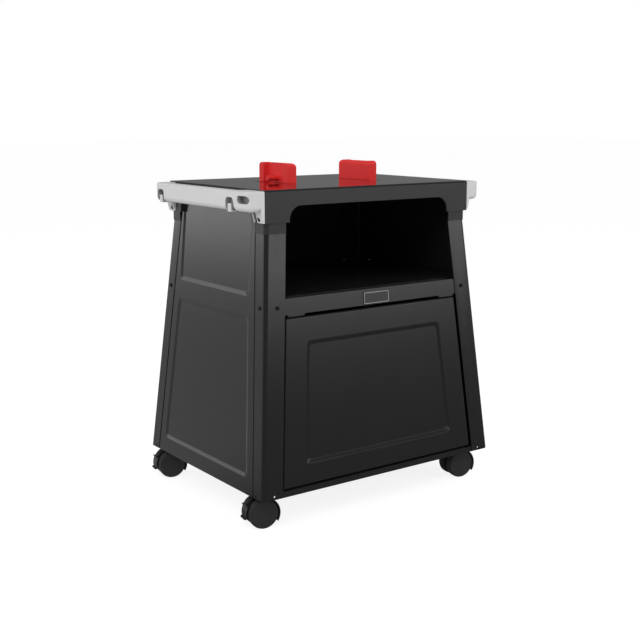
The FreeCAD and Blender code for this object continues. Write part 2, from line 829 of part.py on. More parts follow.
def fold_edges(body, outer, inner, recess, depth):
    """Turn flanges inwards along all four edges of a panel."""
    ring = outline(body, "flange_ring", "XZ", f"-({recess})", [outer, inner])
    pad(body, "flanges", ring, depth, backwards=True)


def make_panel(label, heading):
    """A side or back panel between two legs, from the frame down over the tray's skirt."""
    across = heading in (LEFT, RIGHT)
    stretch, lean = ("side_stretch", "side_lean") if across else ("front_stretch", "front_lean")
    face = {
        LEFT: ("-leg_top_x", "0"),
        RIGHT: ("leg_top_x", "0"),
        BACK: ("0", "leg_top_y"),
    }[heading]
    leg_width = "leg_side_width" if across else "leg_front_width"
    outer = outer_y if across else outer_x
    rise = "side_slope" if across else "front_slope"
    body = lean_body(label, heading, *face, lean)

    def half_width(height, inset="0"):
        return f"({outer(height)} - {leg_width} - panel_gap - ({inset}))"

    def inner_width(height):
        return half_width(height, "panel_sheet")

    top, bottom = f"(ledge_bottom - panel_recess * {rise})", "skirt_bottom"
    corners = trapezoid(half_width, top, bottom, stretch)
    sheet_outline = outline(body, "sheet_outline", "XZ", "-panel_recess", [corners])
    pad(body, "sheet", sheet_outline, "panel_sheet", backwards=True)
    inner = trapezoid(inner_width, f"({top} - panel_sheet)", f"({bottom} + panel_sheet)", stretch)
    fold_edges(body, corners, inner, "panel_recess", "panel_flange")
    clear_behind(body, "rail_room", "rail_bottom - rail_room", "rail_top + rail_room", stretch)
    clear_behind(body, "tray_room", "skirt_bottom - rail_room", "tray_top + rail_room", stretch)
    add_leg_tabs(body, half_width, stretch)
    margin = "side_emboss_margin" if across else "back_emboss_margin"
    reach = "side_emboss_half" if across else "(arch_half_width - back_emboss_margin)"

    def tapered(height):
        return half_width(height, margin)

    def straight(height):
        return reach

    upper = trapezoid(straight, "upper_emboss_top", "upper_emboss_bottom", stretch)
    press_emboss(body, "upper_emboss", upper, "panel_recess", "panel_sheet")
    lower = trapezoid(tapered, "lower_emboss_top", "lower_emboss_bottom", stretch)
    press_emboss(body, "lower_emboss", lower, "panel_recess", "panel_sheet")
    if across:
        cut_handle_notch(body, stretch, heading == RIGHT)


def clear_behind(body, name, low, high, stretch):
    """Cut a panel's flanges away between two heights, where a rail or the tray passes."""
    room = span("-rim_width", "rim_width", run(low, stretch), run(high, stretch))
    behind = outline(body, f"{name}_outline", "XZ", "-(panel_recess + panel_sheet)", [room])
    pocket(body, name, behind, "2 * panel_flange")


def add_leg_tabs(body, half_width, stretch):
    """Eight tabs that reach behind the legs' sheets, where the panel is held."""
    tabs = []
    for height in ("lower_tab_low", "lower_tab_high", "upper_tab_low", "upper_tab_high"):
        near_edge = f"{half_width(height)} - tab_overlap"
        far_edge = f"{half_width(height)} + panel_gap + tab_reach"
        low = f"{run(height, stretch)} - tab_half"
        high = f"{run(height, stretch)} + tab_half"
        tabs.append(span(near_edge, far_edge, low, high))
        tabs.append(span(f"-({far_edge})", f"-({near_edge})", low, high))
    behind = "-(steel_sheet + bearing_gap)"
    pad(body, "leg_tabs", outline(body, "tab_outline", "XZ", behind, tabs), "panel_sheet", backwards=True)


def cut_handle_notch(body, stretch, to_right):
    """The dark notch under the handle's rear end."""
    top = run("rim_top", stretch)
    bottom = run("notch_bottom", stretch)
    corners = [
        ("notch_bottom_inner", bottom),
        ("notch_outer", bottom),
        ("notch_outer", top),
        ("notch_top_inner", top),
    ]
    if not to_right:
        corners = [(f"-{x}", y) for x, y in corners[::-1]]
    pocket(body, "handle_notch", outline(body, "notch_outline", "XZ", "0", [corners]))


# Door


def door_half(height, inset="0"):
    """Half the door's width at a height, to the legs' inner edges less the gap."""
    return f"({outer_x(height)} - leg_front_width - door_gap - ({inset}))"


def make_door():
    """The drop-down door: an embossed sheet with folded edges and two pin holes."""
    body = lean_body("door", FRONT, "0", "-leg_top_y", "front_lean")
    stretch = "front_stretch"
    corners = trapezoid(door_half, "door_top", "door_bottom", stretch)
    face = outline(body, "sheet_outline", "XZ", "-door_recess", [corners])
    pad(body, "sheet", face, "panel_sheet", backwards=True)

    def inner(height):
        return door_half(height, "panel_sheet")

    low = "(door_bottom)"
    high = "(door_top - panel_sheet)"
    folded = [
        (f"-{door_half(low)}", run(low, stretch)),
        (f"-{inner(low)}", run(low, stretch)),
        (f"-{inner(high)}", run(high, stretch)),
        (inner(high), run(high, stretch)),
        (inner(low), run(low, stretch)),
        (door_half(low), run(low, stretch)),
        (door_half("door_top"), run("door_top", stretch)),
        (f"-{door_half('door_top')}", run("door_top", stretch)),
    ]
    hinge_room = "(hinge_inset + 2 * hinge_plate + panel_gap)"
    floor_half = f"({door_half('door_bottom')} - {hinge_room})"
    floor = span(
        f"-{floor_half}", floor_half, run(low, stretch), run("(door_bottom + panel_sheet)", stretch)
    )
    flanges = outline(body, "flange_outline", "XZ", "-door_recess", [folded, floor])
    pad(body, "flanges", flanges, "door_flange", backwards=True)

    def tapered(height):
        return door_half(height, "door_emboss_margin - door_gap")

    emboss = trapezoid(tapered, "door_emboss_top", "door_emboss_bottom", stretch)
    press_emboss(body, "emboss", emboss, "door_recess", "panel_sheet")
    pivot = [("door_recess + pivot_depth", f"{run('door_bottom', stretch)} + pivot_rise")]
    bores = circles(body, "pivot_bores", "YZ", "0", pivot, "pivot_radius + bearing_gap")
    pocket(body, "pin_bores", bores)


def make_hinge_bracket(label, side):
    """An upright plate on the tray, with a foot, that carries one of the door's pins."""
    body = new_body(label)
    ear = [
        ("pivot_y - hinge_reach", "pivot_z - hinge_reach"),
        ("pivot_y + hinge_clear", "pivot_z - hinge_reach"),
        ("pivot_y + hinge_clear", "tray_top"),
        ("pivot_y + hinge_foot", "tray_top"),
        ("pivot_y + hinge_foot", "pivot_z + hinge_reach"),
        ("pivot_y - hinge_reach", "pivot_z + hinge_reach"),
    ]
    rounds = {corner: "hinge_reach - slide_gap" for corner in (0, 4, 5)}
    offset = "-ear_outer" if side == "-" else "ear_outer - hinge_plate"
    pad(body, "ear", outline(body, "ear_outline", "YZ", offset, [ear], rounds), "hinge_plate")
    foot = span("pivot_y + hinge_clear", "pivot_y + hinge_foot", "tray_top", "tray_top + steel_sheet")
    inward = "-ear_outer" if side == "-" else "ear_outer - hinge_foot"
    pad(body, "foot", outline(body, "foot_outline", "YZ", inward, [foot]), "hinge_foot")
    bore = circles(body, "bore", "YZ", "0", [("pivot_y", "pivot_z")], "pivot_radius")
    pocket(body, "pin_bore", bore)


def make_hinge_pins():
    """The two pins that the door turns on."""
    body = new_body("door_hinge_pins")
    centre = [("pivot_y", "pivot_z")]
    length = "pin_end - ear_outer + hinge_plate"
    for name, start in (("left", "-pin_end"), ("right", "ear_outer - hinge_plate")):
        pin = circles(body, f"{name}_circle", "YZ", start, centre, "pivot_radius")
        pad(body, f"{name}_pin", pin, length)


def make_catch():
    """The magnet block that hangs from the front rail and holds the door shut."""
    body = new_body("door_catch")
    front = f"(-{outer_y('door_top')} + (door_recess + door_flange) * front_stretch + fit_gap)"
    top = "door_top - catch_drop"
    hanger = [
        (front, f"{top} - catch_height"),
        (f"{front} + catch_depth", f"{top} - catch_height"),
        (f"{front} + catch_depth", "rail_bottom"),
        (f"{front} + catch_depth - steel_sheet", "rail_bottom"),
        (f"{front} + catch_depth - steel_sheet", top),
        (front, top),
    ]
    section = outline(body, "section", "YZ", "0", [hanger])
    pad(body, "block", section, "catch_width", both=True)


def make_badge():
    """A bare plate on the front rail."""
    body = lean_body("badge_plate", FRONT, "0", "-leg_top_y", "front_lean")
    middle = "(rail_top + rail_bottom) / 2 - badge_drop"
    corners = rectangle("badge_width / 2", "badge_height / 2", "badge_middle", run(middle, "front_stretch"))
    rounds = {corner: "badge_corner" for corner in range(4)}
    face = outline(body, "face", "XZ", "-steel_sheet * cos(front_lean)", [corners], rounds)
    pad(body, "plate", face, "badge_thickness")


# Handles


def make_left_handle():
    """The left handle: a moulded block with a grip slot, two hooks and two foot pads."""
    body = new_body("handle_left")
    block = span("-handle_reach", "-rim_half_x", "-rim_half_y", "rim_half_y")
    plan = outline(body, "plan", "XY", "handle_bottom", [block], {0: "handle_corner", 3: "handle_corner"})
    pad(body, "block", plan, "handle_height - handle_drop")
    inner_face = -number("rim_half_x")
    bottom, top = number("handle_bottom"), number("handle_top")

    def outer_edge_at(height):
        def wanted(edge):
            middle = edge.BoundBox.Center
            level = all(near(vertex.Z, height) for vertex in edge.Vertexes)
            return level and not near(middle.x, inner_face)

        return wanted

    round_edges(body, "lower_round", "handle_lower_round", outer_edge_at(bottom))
    round_edges(body, "upper_round", "handle_upper_round", outer_edge_at(top))
    bar_face = "bar_thickness - handle_reach"
    slot = span(bar_face, "frame_wall - rim_half_x", "-grip_front_end", "grip_rear_end")
    grip = outline(body, "grip", "XY", "rim_top", [slot], {0: "grip_corner", 3: "grip_corner"})
    pocket(body, "grip_slot", grip, "handle_height")
    pads = [
        ("-rim_half_x", "handle_bottom + handle_lower_round"),
        ("-rim_half_x - foot_pad_reach", "handle_bottom + handle_lower_round"),
        ("-rim_half_x - foot_pad_reach", "handle_bottom"),
        ("-rim_half_x - foot_pad_end", "pad_bottom"),
        ("-rim_half_x", "pad_bottom"),
    ]
    for name, start, length in (
        ("front_pad", "rim_half_y - foot_pad_length", "foot_pad_length"),
        ("rear_pad", "-rim_half_y", "foot_pad_length"),
        ("front_rib", "front_rib_place", "foot_rib_width"),
        ("rear_rib", "-rear_rib_place - foot_rib_width", "foot_rib_width"),
    ):
        pad(body, name, outline(body, f"{name}_section", "XZ", start, [pads]), length)
    add_hook(body, "front_hook", "-hook_front_y", "hook_flare")
    add_hook(body, "rear_hook", "hook_rear_y", "0")
    oval = rectangle("oval_half_length", "oval_half_height", "-oval_y", "rim_top - oval_drop")
    rounds = {corner: "oval_half_height - oval_flat" for corner in range(4)}
    face = outline(body, "oval", "YZ", "-handle_reach", [oval], rounds)
    pocket(body, "oval_recess", face, "oval_depth", backwards=True)
    places = [("-handle_screw_y", "handle_screw_height"), ("handle_screw_y", "handle_screw_height")]
    hole = circles(body, "screw_circles", "YZ", "0", places, "screw_shank_radius + screw_clearance")
    pocket(body, "screw_holes", hole)
    sink_radius = "screw_head_radius + screw_clearance"
    sink = circles(body, "sink_circles", "YZ", "-rim_half_x - screw_seat", places, sink_radius)
    pocket(body, "screw_sinks", sink, "handle_height")
    return body


def add_hook(body, name, middle, flare):
    """A notch in the handle's face, open below, with an upright tongue inside it."""
    low = "handle_bottom - handle_lower_round"
    notch = [
        (f"{middle} - hook_half_width - {flare}", low),
        (f"{middle} + hook_half_width", low),
        (f"{middle} + hook_half_width", "handle_bottom + hook_rise"),
        (f"{middle} - hook_half_width", "handle_bottom + hook_rise"),
    ]
    face = outline(body, f"{name}_notch", "YZ", "-handle_reach", [notch], {2: "hook_round", 3: "hook_round"})
    pocket(body, f"{name}_recess", face, "hook_depth", backwards=True)
    front = "tongue_setback - handle_reach"
    back = "hook_depth - handle_reach + tongue_setback"
    base = "handle_bottom - tongue_drop"
    tongue = [
        (front, base),
        (back, base),
        (back, f"{base} + tongue_thickness"),
        (f"{front} + tongue_thickness", f"{base} + tongue_thickness"),
        (f"{front} + tongue_thickness", "handle_bottom + tongue_rise"),
        (front, "handle_bottom + tongue_rise"),
    ]
    section = outline(body, f"{name}_tongue", "XZ", f"-({middle})", [tongue])
    pad(body, f"{name}_bar", section, "2 * tongue_half_width", both=True)


# Grill locks


def make_left_lock():
    """The left grill lock: an upright web, two end flanges, a peg and two necks."""
    body = new_body("lock_left")
    outer = "-lock_inner - lock_depth"
    web_face = "-lock_inner - lock_web"
    plan = [
        ("-lock_inner", "-lock_half_length"),
        ("-lock_inner", "lock_half_length"),
        (outer, "lock_half_length"),
        (outer, "lock_half_length - lock_flange_length"),
        (web_face, "lock_half_length - lock_flange_length"),
        (web_face, "lock_flange_length - lock_half_length"),
        (outer, "lock_flange_length - lock_half_length"),
        (outer, "-lock_half_length"),
    ]
    pad(body, "bracket", outline(body, "plan", "XY", "lock_base", [plan]), "lock_height")
    half, top = number("lock_half_length"), number("lock_base + lock_height")

    def end_top(edge):
        return all(near(abs(v.Y), half) and near(v.Z, top) for v in edge.Vertexes)

    round_edges(body, "top_rounds", "lock_top_round", end_top)
    peg_end = "-lock_inner - lock_web - peg_reach"
    peg = circles(body, "peg_circle", "YZ", peg_end, [("0", "peg_place")], "peg_radius")
    pad(body, "peg", peg, "peg_reach")
    neck_x = "-lock_inner - neck_inset - neck_thickness / 2"
    necks = [
        rectangle("neck_thickness / 2", "neck_width / 2", neck_x, "neck_place"),
        rectangle("neck_thickness / 2", "neck_width / 2", neck_x, "-neck_place"),
    ]
    pad(body, "necks", outline(body, "neck_plan", "XY", "shoe_top", necks), "lock_base - shoe_top")
    return body


def make_left_shoe():
    """The bar under the plate that keeps the left grill lock in its slots."""
    body = new_body("lock_shoe_left")
    middle = "-lock_inner - neck_inset - neck_thickness / 2"
    bar = rectangle("shoe_width / 2", "lock_half_length", middle)
    plan = outline(body, "plan", "XY", "shoe_top", [bar])
    pad(body, "bar", plan, "shoe_thickness", backwards=True)
    return body


# Casters


def caster_body(label, side, end):
    """A body whose origin is the wheels' middle and whose Y axis is their axle."""
    body = new_body(label)
    x = f"{side}caster_x - caster_trail * cos(caster_heading)"
    y = f"{end}caster_y - caster_trail * sin(caster_heading)"
    body.setExpression("Placement", placing(x, y, "wheel_radius", "caster_heading"))
    return body


def sweep(body, name, corners, start, angle, rounds=None):
    """Turn a shape about the axle, between two angles that run from the front upwards."""
    sketch = outline(body, f"{name}_section", "XY", "0", [corners], rounds)
    sketch.AttachmentOffset = FreeCAD.Placement(
        FreeCAD.Vector(0, 0, 0), FreeCAD.Rotation(FreeCAD.Vector(0, -1, 0), number(f"{start} + {angle}"))
    )
    sketch.setExpression("AttachmentOffset.Base.z", None)
    feature = body.newObject("PartDesign::Revolution", name)
    feature.Profile = sketch
    feature.ReferenceAxis = (sketch, ["V_Axis"])
    drive(feature, "Angle", angle)
    document.recompute([sketch, feature])
    return feature


def make_hood(label, side, end, brake):
    """A caster's hood: a shell over the treads on a middle spine with stem and axle bores."""
    body = caster_body(label, side, end)
    sector = span("0", "hood_outer", "-wheel_outer", "wheel_outer")
    sweep(body, "sector", sector, "hood_start", "hood_sweep")
    stem = [("caster_trail", "0")]
    collar = circles(body, "collar_circle", "XY", "stem_bottom - wheel_radius", stem, "collar_radius")
    pad(body, "collar", collar, "collar_top - stem_bottom")
    room = "wheel_radius + hood_gap"
    near_room = circles(body, "near_room", "XZ", "spine_half_width", [("0", "0")], room)
    pocket(body, "near_wheel_room", near_room, "wheel_outer", backwards=True)
    far_room = circles(body, "far_room", "XZ", "-spine_half_width", [("0", "0")], room)
    pocket(body, "far_wheel_room", far_room, "wheel_outer")
    hub = circles(body, "hub_circle", "XZ", "0", [("0", "0")], "spine_hub_radius")
    pad(body, "hub", hub, "2 * spine_half_width", both=True)
    if brake:
        reach = "brake_pivot_radius + brake_arm_width / 2"
        arm = span(f"-({reach})", "0", "-brake_arm_width / 2", "brake_arm_width / 2")
        bar = outline(body, "arm_outline", "XZ", "0", [arm], {0: "brake_arm_round", 3: "brake_arm_round"})
        pad(body, "brake_arm", bar, "2 * brake_arm_half", both=True)
        pin = circles(body, "pin_circle", "XZ", "0", [("-brake_pivot_radius", "0")], "brake_pin_radius")
        pad(body, "brake_pin", pin, "2 * brake_cheek_half", both=True)
    stem_end = "stem_bottom - wheel_radius"
    bore = circles(body, "stem_circle", "XY", stem_end, stem, "stem_radius + bearing_gap")
    pocket(body, "stem_bore", bore, "wheel_radius + stem_bottom", backwards=True)
    axle = circles(body, "axle_circle", "XZ", "0", [("0", "0")], "axle_radius")
    pocket(body, "axle_bore", axle)


def make_wheels(label, side, end):
    """A caster's two wheels, smooth on the outside and bored from the inside."""
    body = caster_body(label, side, end)
    for sign in ("-", ""):
        corners = [
            ("axle_radius + bearing_gap", f"{sign}wheel_inner"),
            ("wheel_radius", f"{sign}wheel_inner"),
            ("wheel_radius", f"{sign}wheel_outer"),
            ("0", f"{sign}wheel_outer"),
            ("0", f"{sign}(axle_half_length + fit_gap)"),
            ("axle_radius + bearing_gap", f"{sign}(axle_half_length + fit_gap)"),
        ]
        name = "near_wheel" if sign else "far_wheel"
        sweep(body, name, corners, "0", "360", {1: "wheel_edge", 2: "wheel_edge"})


def make_axle(label, side, end):
    """A caster's axle."""
    body = caster_body(label, side, end)
    circle = circles(body, "circle", "XZ", "0", [("0", "0")], "axle_radius")
    pad(body, "rod", circle, "2 * axle_half_length", both=True)


def make_brake_lever(label, side, end):
    """A left caster's brake lever: two cheeks on the hood's arm, a shell and two paddles."""
    body = caster_body(label, side, end)
    half_shell = ("-brake_shell_half", "brake_shell_half")
    shell = span("brake_shell_inner", "brake_shell_inner + brake_shell_thickness", *half_shell)
    sweep(body, "shell", shell, "brake_start", "brake_sweep")
    paddle = span("brake_shell_inner", "brake_outer", *half_shell)
    rounds = {1: "brake_arm_round", 2: "brake_arm_round"}
    sweep(body, "upper_paddle", paddle, "brake_start", "paddle_sweep", rounds)
    sweep(body, "lower_paddle", paddle, "brake_start + brake_sweep - paddle_sweep", "paddle_sweep", rounds)
    cheek = span(
        "-brake_shell_inner - brake_shell_thickness / 2",
        "brake_arm_width / 2 - brake_pivot_radius",
        "-brake_arm_width / 2",
        "brake_arm_width / 2",
    )
    inner = "(brake_arm_half + slide_gap)"
    rounds = {1: "brake_arm_round", 2: "brake_arm_round"}
    for name, offset in (("near_cheek", inner), ("far_cheek", "-brake_cheek_half")):
        side_plate = outline(body, f"{name}_outline", "XZ", offset, [cheek], rounds)
        pad(body, name, side_plate, f"brake_cheek_half - {inner}")
    pivot = [("-brake_pivot_radius", "0")]
    bore = circles(body, "pin_circle", "XZ", "0", pivot, "brake_pin_radius + bearing_gap")
    pocket(body, "pin_bore", bore)


# Fasteners, each kind a group of equal copies


def screw_master(name, length):
    """One screw, its head at the face and its shank towards +Y."""
    body = document.addObject("PartDesign::Body", name)
    head = circles(body, f"{name}_head", "XZ", "0", [("0", "0")], "screw_head_radius")
    pad(body, f"{name}_cap", head, "screw_head_height")
    edge = -number("screw_head_height")

    def cap_rim(line):
        return all(near(v.Y, edge) for v in line.Vertexes)

    round_edges(body, f"{name}_round", "screw_head_round", cap_rim)
    shank = circles(body, f"{name}_shank", "XZ", "0", [("0", "0")], "screw_shank_radius")
    pad(body, f"{name}_pin", shank, length, backwards=True)
    return body


def copies(label, master, places):
    """One node of equal pieces, each with its own placement."""
    links = []
    for index, place in enumerate(places):
        link = document.addObject("App::Link", f"{label}_{index}")
        link.LinkedObject = master
        link.setExpression("Placement", place)
        links.append(link)
    group = document.addObject("Part::Compound", label)
    group.Label = label
    group.Links = links
    finished.append(group)


def make_screws():
    """The eight rail screws and the four handle screws."""
    rail_places = []
    handle_places = []
    for end in ("-", ""):
        for side in ("-", ""):
            heading, lean = ("0", "-front_lean") if end == "-" else ("180", "-front_lean")
            front = f"{end}{outer_y('rail_screw_height')}"
            rail_places.append(placing(f"{side}rail_screw_x", front, "rail_screw_height", heading, lean))
            turned = "-90" if side == "-" else "90"
            face = f"{side}{outer_x('rail_screw_height')}"
            place = placing(face, f"{end}rail_screw_y", "rail_screw_height", turned, "-side_lean")
            rail_places.append(place)
            seat = f"{side}(rim_half_x + screw_seat)"
            handle_places.append(placing(seat, f"{end}handle_screw_y", "handle_screw_height", turned))
    copies("rail_screws", screw_master("short_screw", "screw_length"), rail_places)
    copies("handle_screws", screw_master("long_screw", "handle_screw_length"), handle_places)


def make_stems():
    """The four caster stems, each gripped in a bracket's boss."""
    master = document.addObject("PartDesign::Body", "stem")
    rod = circles(master, "stem_rod", "XY", "0", [("0", "0")], "stem_radius")
    pad(master, "stem_pin", rod, "tray_floor - stem_bottom - fit_gap")
    places = []
    for end in ("-", ""):
        for side in ("-", ""):
            places.append(placing(f"{side}caster_x", f"{end}caster_y", "stem_bottom + fit_gap"))
    copies("caster_stems", master, places)


def check_and_write():
    """Stop on anything that failed, then write one file for each sub-part."""
    document.recompute()
    for item in document.Objects:
        if "Invalid" in item.State or "Error" in item.State:
            raise RuntimeError(f"{item.Label} failed: {item.State}")
    os.makedirs("parts", exist_ok=True)
    for item in finished:
        shape = item.Shape
        if shape.isNull() or not shape.isValid():
            raise RuntimeError(f"{item.Label} has no valid shape")
        shape.exportStep(f"parts/{item.Label}.step")
        print(f"{item.Label}: {len(shape.Solids)} solids, {shape.Volume / 1000:.1f} cm3")


fill_sheet()
make_top_frame()
make_top_plate()
make_stiffener("plate_stiffener_left", "-")
make_stiffener("plate_stiffener_right", "")
for end_name, end_sign in (("front", "-"), ("back", "")):
    for side_name, side_sign in (("left", "-"), ("right", "")):
        make_leg(f"leg_{end_name}_{side_name}", side_sign, end_sign)
        make_caster_bracket(f"caster_bracket_{end_name}_{side_name}", side_sign, end_sign)
make_rails()
make_middle_shelf()
make_base_tray()
for side_name, side_heading in (("left", LEFT), ("right", RIGHT)):
    make_panel(f"side_panel_{side_name}", side_heading)
make_panel("back_panel", BACK)
make_door()
make_hinge_bracket("door_hinge_bracket_left", "-")
make_hinge_bracket("door_hinge_bracket_right", "")
make_hinge_pins()
make_catch()
make_badge()
mirror_image("handle_right", make_left_handle())
mirror_image("lock_right", make_left_lock())
mirror_image("lock_shoe_right", make_left_shoe())
for end_name, end_sign in (("front", "-"), ("back", "")):
    for side_name, side_sign in (("left", "-"), ("right", "")):
        corner = f"{end_name}_{side_name}"
        make_hood(f"caster_hood_{corner}", side_sign, end_sign, side_name == "left")
        make_wheels(f"caster_wheels_{corner}", side_sign, end_sign)
        make_axle(f"caster_axle_{corner}", side_sign, end_sign)
    make_brake_lever(f"brake_lever_{end_name}_left", "-", end_sign)
make_stems()
make_screws()
check_and_write()
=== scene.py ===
import math

import bmesh
import bpy
from bpy.props import FloatProperty, FloatVectorProperty, PointerProperty
from mathutils import Matrix, Vector


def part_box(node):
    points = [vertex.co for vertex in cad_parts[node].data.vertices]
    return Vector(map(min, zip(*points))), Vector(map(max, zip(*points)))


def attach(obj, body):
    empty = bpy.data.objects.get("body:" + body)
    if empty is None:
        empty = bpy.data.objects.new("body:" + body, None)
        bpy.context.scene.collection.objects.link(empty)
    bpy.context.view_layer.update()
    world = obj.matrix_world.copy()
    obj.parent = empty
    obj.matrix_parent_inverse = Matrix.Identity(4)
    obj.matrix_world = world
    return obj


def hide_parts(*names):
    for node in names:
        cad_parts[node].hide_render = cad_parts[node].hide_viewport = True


bl_info = {
    "name": "Grill Cart with Storage",
    "version": (1, 0, 0),
    "blender": (4, 5, 0),
    "location": "3D View > Sidebar > Grill Cart",
    "description": "Builds the finished pieces of a grill cart round its packed model",
    "category": "Object",
}

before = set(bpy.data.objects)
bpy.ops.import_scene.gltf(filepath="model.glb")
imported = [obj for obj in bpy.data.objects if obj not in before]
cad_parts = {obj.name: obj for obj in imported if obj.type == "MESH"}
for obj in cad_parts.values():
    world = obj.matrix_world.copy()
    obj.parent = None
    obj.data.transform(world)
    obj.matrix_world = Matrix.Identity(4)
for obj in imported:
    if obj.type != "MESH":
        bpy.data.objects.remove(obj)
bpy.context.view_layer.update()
MM = 0.001

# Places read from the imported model, in millimetres
PLATE_BOTTOM = (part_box("top_plate")[0] / MM).z
RIM_LOW, RIM_HIGH = (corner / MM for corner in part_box("top_frame"))
MIDDLE_X = (RIM_LOW.x + RIM_HIGH.x) / 2
MIDDLE = Vector((MIDDLE_X, 0, 0))

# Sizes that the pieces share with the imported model, in millimetres
BEND = 617.0
FOOT = 69.5
LEG_X, LEG_Y = 273.6, 195.6
SPREAD_X, SPREAD_Y = 46.6, 52.0
SIDE_SLOPE = SPREAD_X / (BEND - FOOT)
FRONT_SLOPE = SPREAD_Y / (BEND - FOOT)
LEG_FRONT, LEG_SIDE = 49.5, 37.0
RAIL_TOP, RAIL_BOTTOM = 481.3, 446.8
SKIRT_BOTTOM = 68.5
PANEL_SHEET, STEEL_SHEET = 1.2, 1.5
LEDGE = 3.0
CORNERS = (
    ("front_left", -1, -1),
    ("front_right", 1, -1),
    ("back_left", -1, 1),
    ("back_right", 1, 1),
)

# Panels: node, heading in degrees, the lower pressing's margin and the upper one's half width
PANELS = (
    ("side_panel_left", -90, 23.0, 147.0),
    ("side_panel_right", 90, 23.0, 147.0),
    ("back_panel", 180, 40.0, 177.0),
)
PANEL_TOP = PLATE_BOTTOM - LEDGE
PANEL_GAP = 2.5
PANEL_FLANGE = 5.0
PANEL_RECESS = 0.2

# Heights that the panels' two pressings run between
LOW_PRESSING = (104.0, RAIL_BOTTOM - 5.8)
HIGH_PRESSING = (RAIL_TOP + 1.7, 680.0)

# What the panels leave free, as x, depth and height spans in the face
PAST_BOTH_ENDS = (-400.0, 400.0)
BEHIND_SHEET = (1.45, 12.0)
RAIL_ROOM = (PAST_BOTH_ENDS, BEHIND_SHEET, (RAIL_BOTTOM - 1, RAIL_TOP + 1))
TRAY_ROOM = (PAST_BOTH_ENDS, BEHIND_SHEET, (SKIRT_BOTTOM - 3, 82.0))
HANDLE_ROOM_X = (136.0, 157.0)
HANDLE_ROOM = ((-5.0, 12.0), (638.0, 720.0))

# Lips behind the legs' sheets: heights, insets from the legs' edges, and depth
LIP_HEIGHTS = ((84.0, 443.0), (485.0, 634.0))
LIP_START, LIP_END = 5.5, -12.0
LIP_DEPTH = 1.55

# Door
DOOR_BOTTOM, DOOR_TOP = 84.6, RAIL_BOTTOM - 6.4
DOOR_GAP = 4.0
DOOR_FLANGE = 14.0
DOOR_RECESS = 2.5
DOOR_PRESSING = (128.0, RAIL_BOTTOM - 58.8)
DOOR_MARGIN = 59.0
BRACKET_ROOM_X = ((-262.0, -251.9), (251.9, 262.0))
BRACKET_ROOM = ((3.75, 20.0), (81.0, 87.8))

# Corners, bends and flat margins of the folds and pressings
CORNER_STEPS = 8
FOLD_CORNER = 3.0
FOLD_TURNS = 6
PRESS_BORDER_CORNER = 13.0
PRESS_CORNER, PRESS_CORNER_LOSS = 12.6, 3.6
PRESS_STEPS = (0.0, 0.04, 0.08, 0.12, 0.5, 0.88, 0.92, 0.96, 1.0)
LEAD = 0.6
MARGIN = 0.8

# Badge plate: its middle, across and below the rail's middle, and its sizes
BADGE_MIDDLE, BADGE_DROP = 5.0, 2.2
BADGE_WIDTH, BADGE_HEIGHT, BADGE_THICKNESS = 71.0, 27.0, 1.4

# Border line on the badge: its section, as insets from the edge and depths behind the front
BORDER = ((1.4, 0.1), (1.4, -0.08), (2.4, -0.08), (2.4, 0.1))
BORDER_CORNER, BORDER_CORNER_LOSS = 2.2, 0.4
BORDER_STEPS = 6

# Screws: places, the pan's outline as parts of its radius with heights, and the socket
RAIL_SCREW_HEIGHT = 464.0
RAIL_SCREW_SIDE, RAIL_SCREW_FRONT = 190.5, 256.0
PAD_SCREW = (280.0, 184.0, 645.0)
PAN = ((1.0, 0.0), (1.0, 0.9), (0.93, 1.7), (0.78, 2.2), (0.55, 2.4))
SOCKET_REACH = 1.9
SOCKET_HEIGHTS = (2.4, 0.9)
SCREW_STEPS = 24

# Distances that merge points, in metres
DOUBLES, NODE_DOUBLES = 0.00001, 0.000005

# Angles that merge flats, bevel edges and crease the shading, in degrees
MERGED_ANGLE = 0.6
BEVELLED_ANGLE = 28.0
SHARP_ANGLE, SOFTENED_SHARP_ANGLE, SCREW_SHARP_ANGLE = 35.0, 42.0, 30.0

# Camera that matches the photograph: place from the cart's middle, tilt and heading
CAMERA_PLACE = (-1453.2, -2009.4, 854.5)
CAMERA_TILT, CAMERA_HEADING = 10.869, -35.955
CAMERA_LENS, CAMERA_SENSOR = 60.237, 36.0

# Softboxes that only mirrors see: aim, flatness, the two limits of the edge, and strength
SOFTBOXES = (
    ((-0.58, 0.795, 0.165), 3.0, 0.975, 0.992, 2.1),
    ((-0.6, 0.8, 0.01), 7.0, 0.93, 0.985, 2.7),
    ((0.577, -0.815, 0.034), 8.0, 0.93, 0.985, 3.3),
)
MIRRORED_SKY, PLAIN_SKY = 0.16, 0.5

# Floor: its reach in metres, and how bright mirrors see it ahead, on the left and far left
FLOOR_REACH = 30.0
FLOOR_AHEAD, FLOOR_LEFT, FLOOR_FAR_LEFT = 0.12, 0.44, 0.8

# Where mirrors see the floor turn to its left, as limits of aim, and to its far part, in metres
LEFT_BACK = (-0.6, 0.8, 0.0)
LEFT_EDGE, FAR_EDGE = (0.5, 0.95), (4.0, 16.0)

# Lamps: name, place, the height aimed at, size and power
LAMPS = (
    ("key", (-2.6, -2.2, 3.4), 0.4, (2.2, 2.2), 66.0),
    ("side", (-3.4, 1.2, 1.7), 0.45, (2.0, 1.6), 24.0),
    ("fill", (2.4, -3.2, 1.9), 0.35, (2.5, 2.0), 44.0),
    ("back", (1.5, 3.0, 2.6), 0.5, (2.5, 1.5), 25.0),
)


# Shader arithmetic


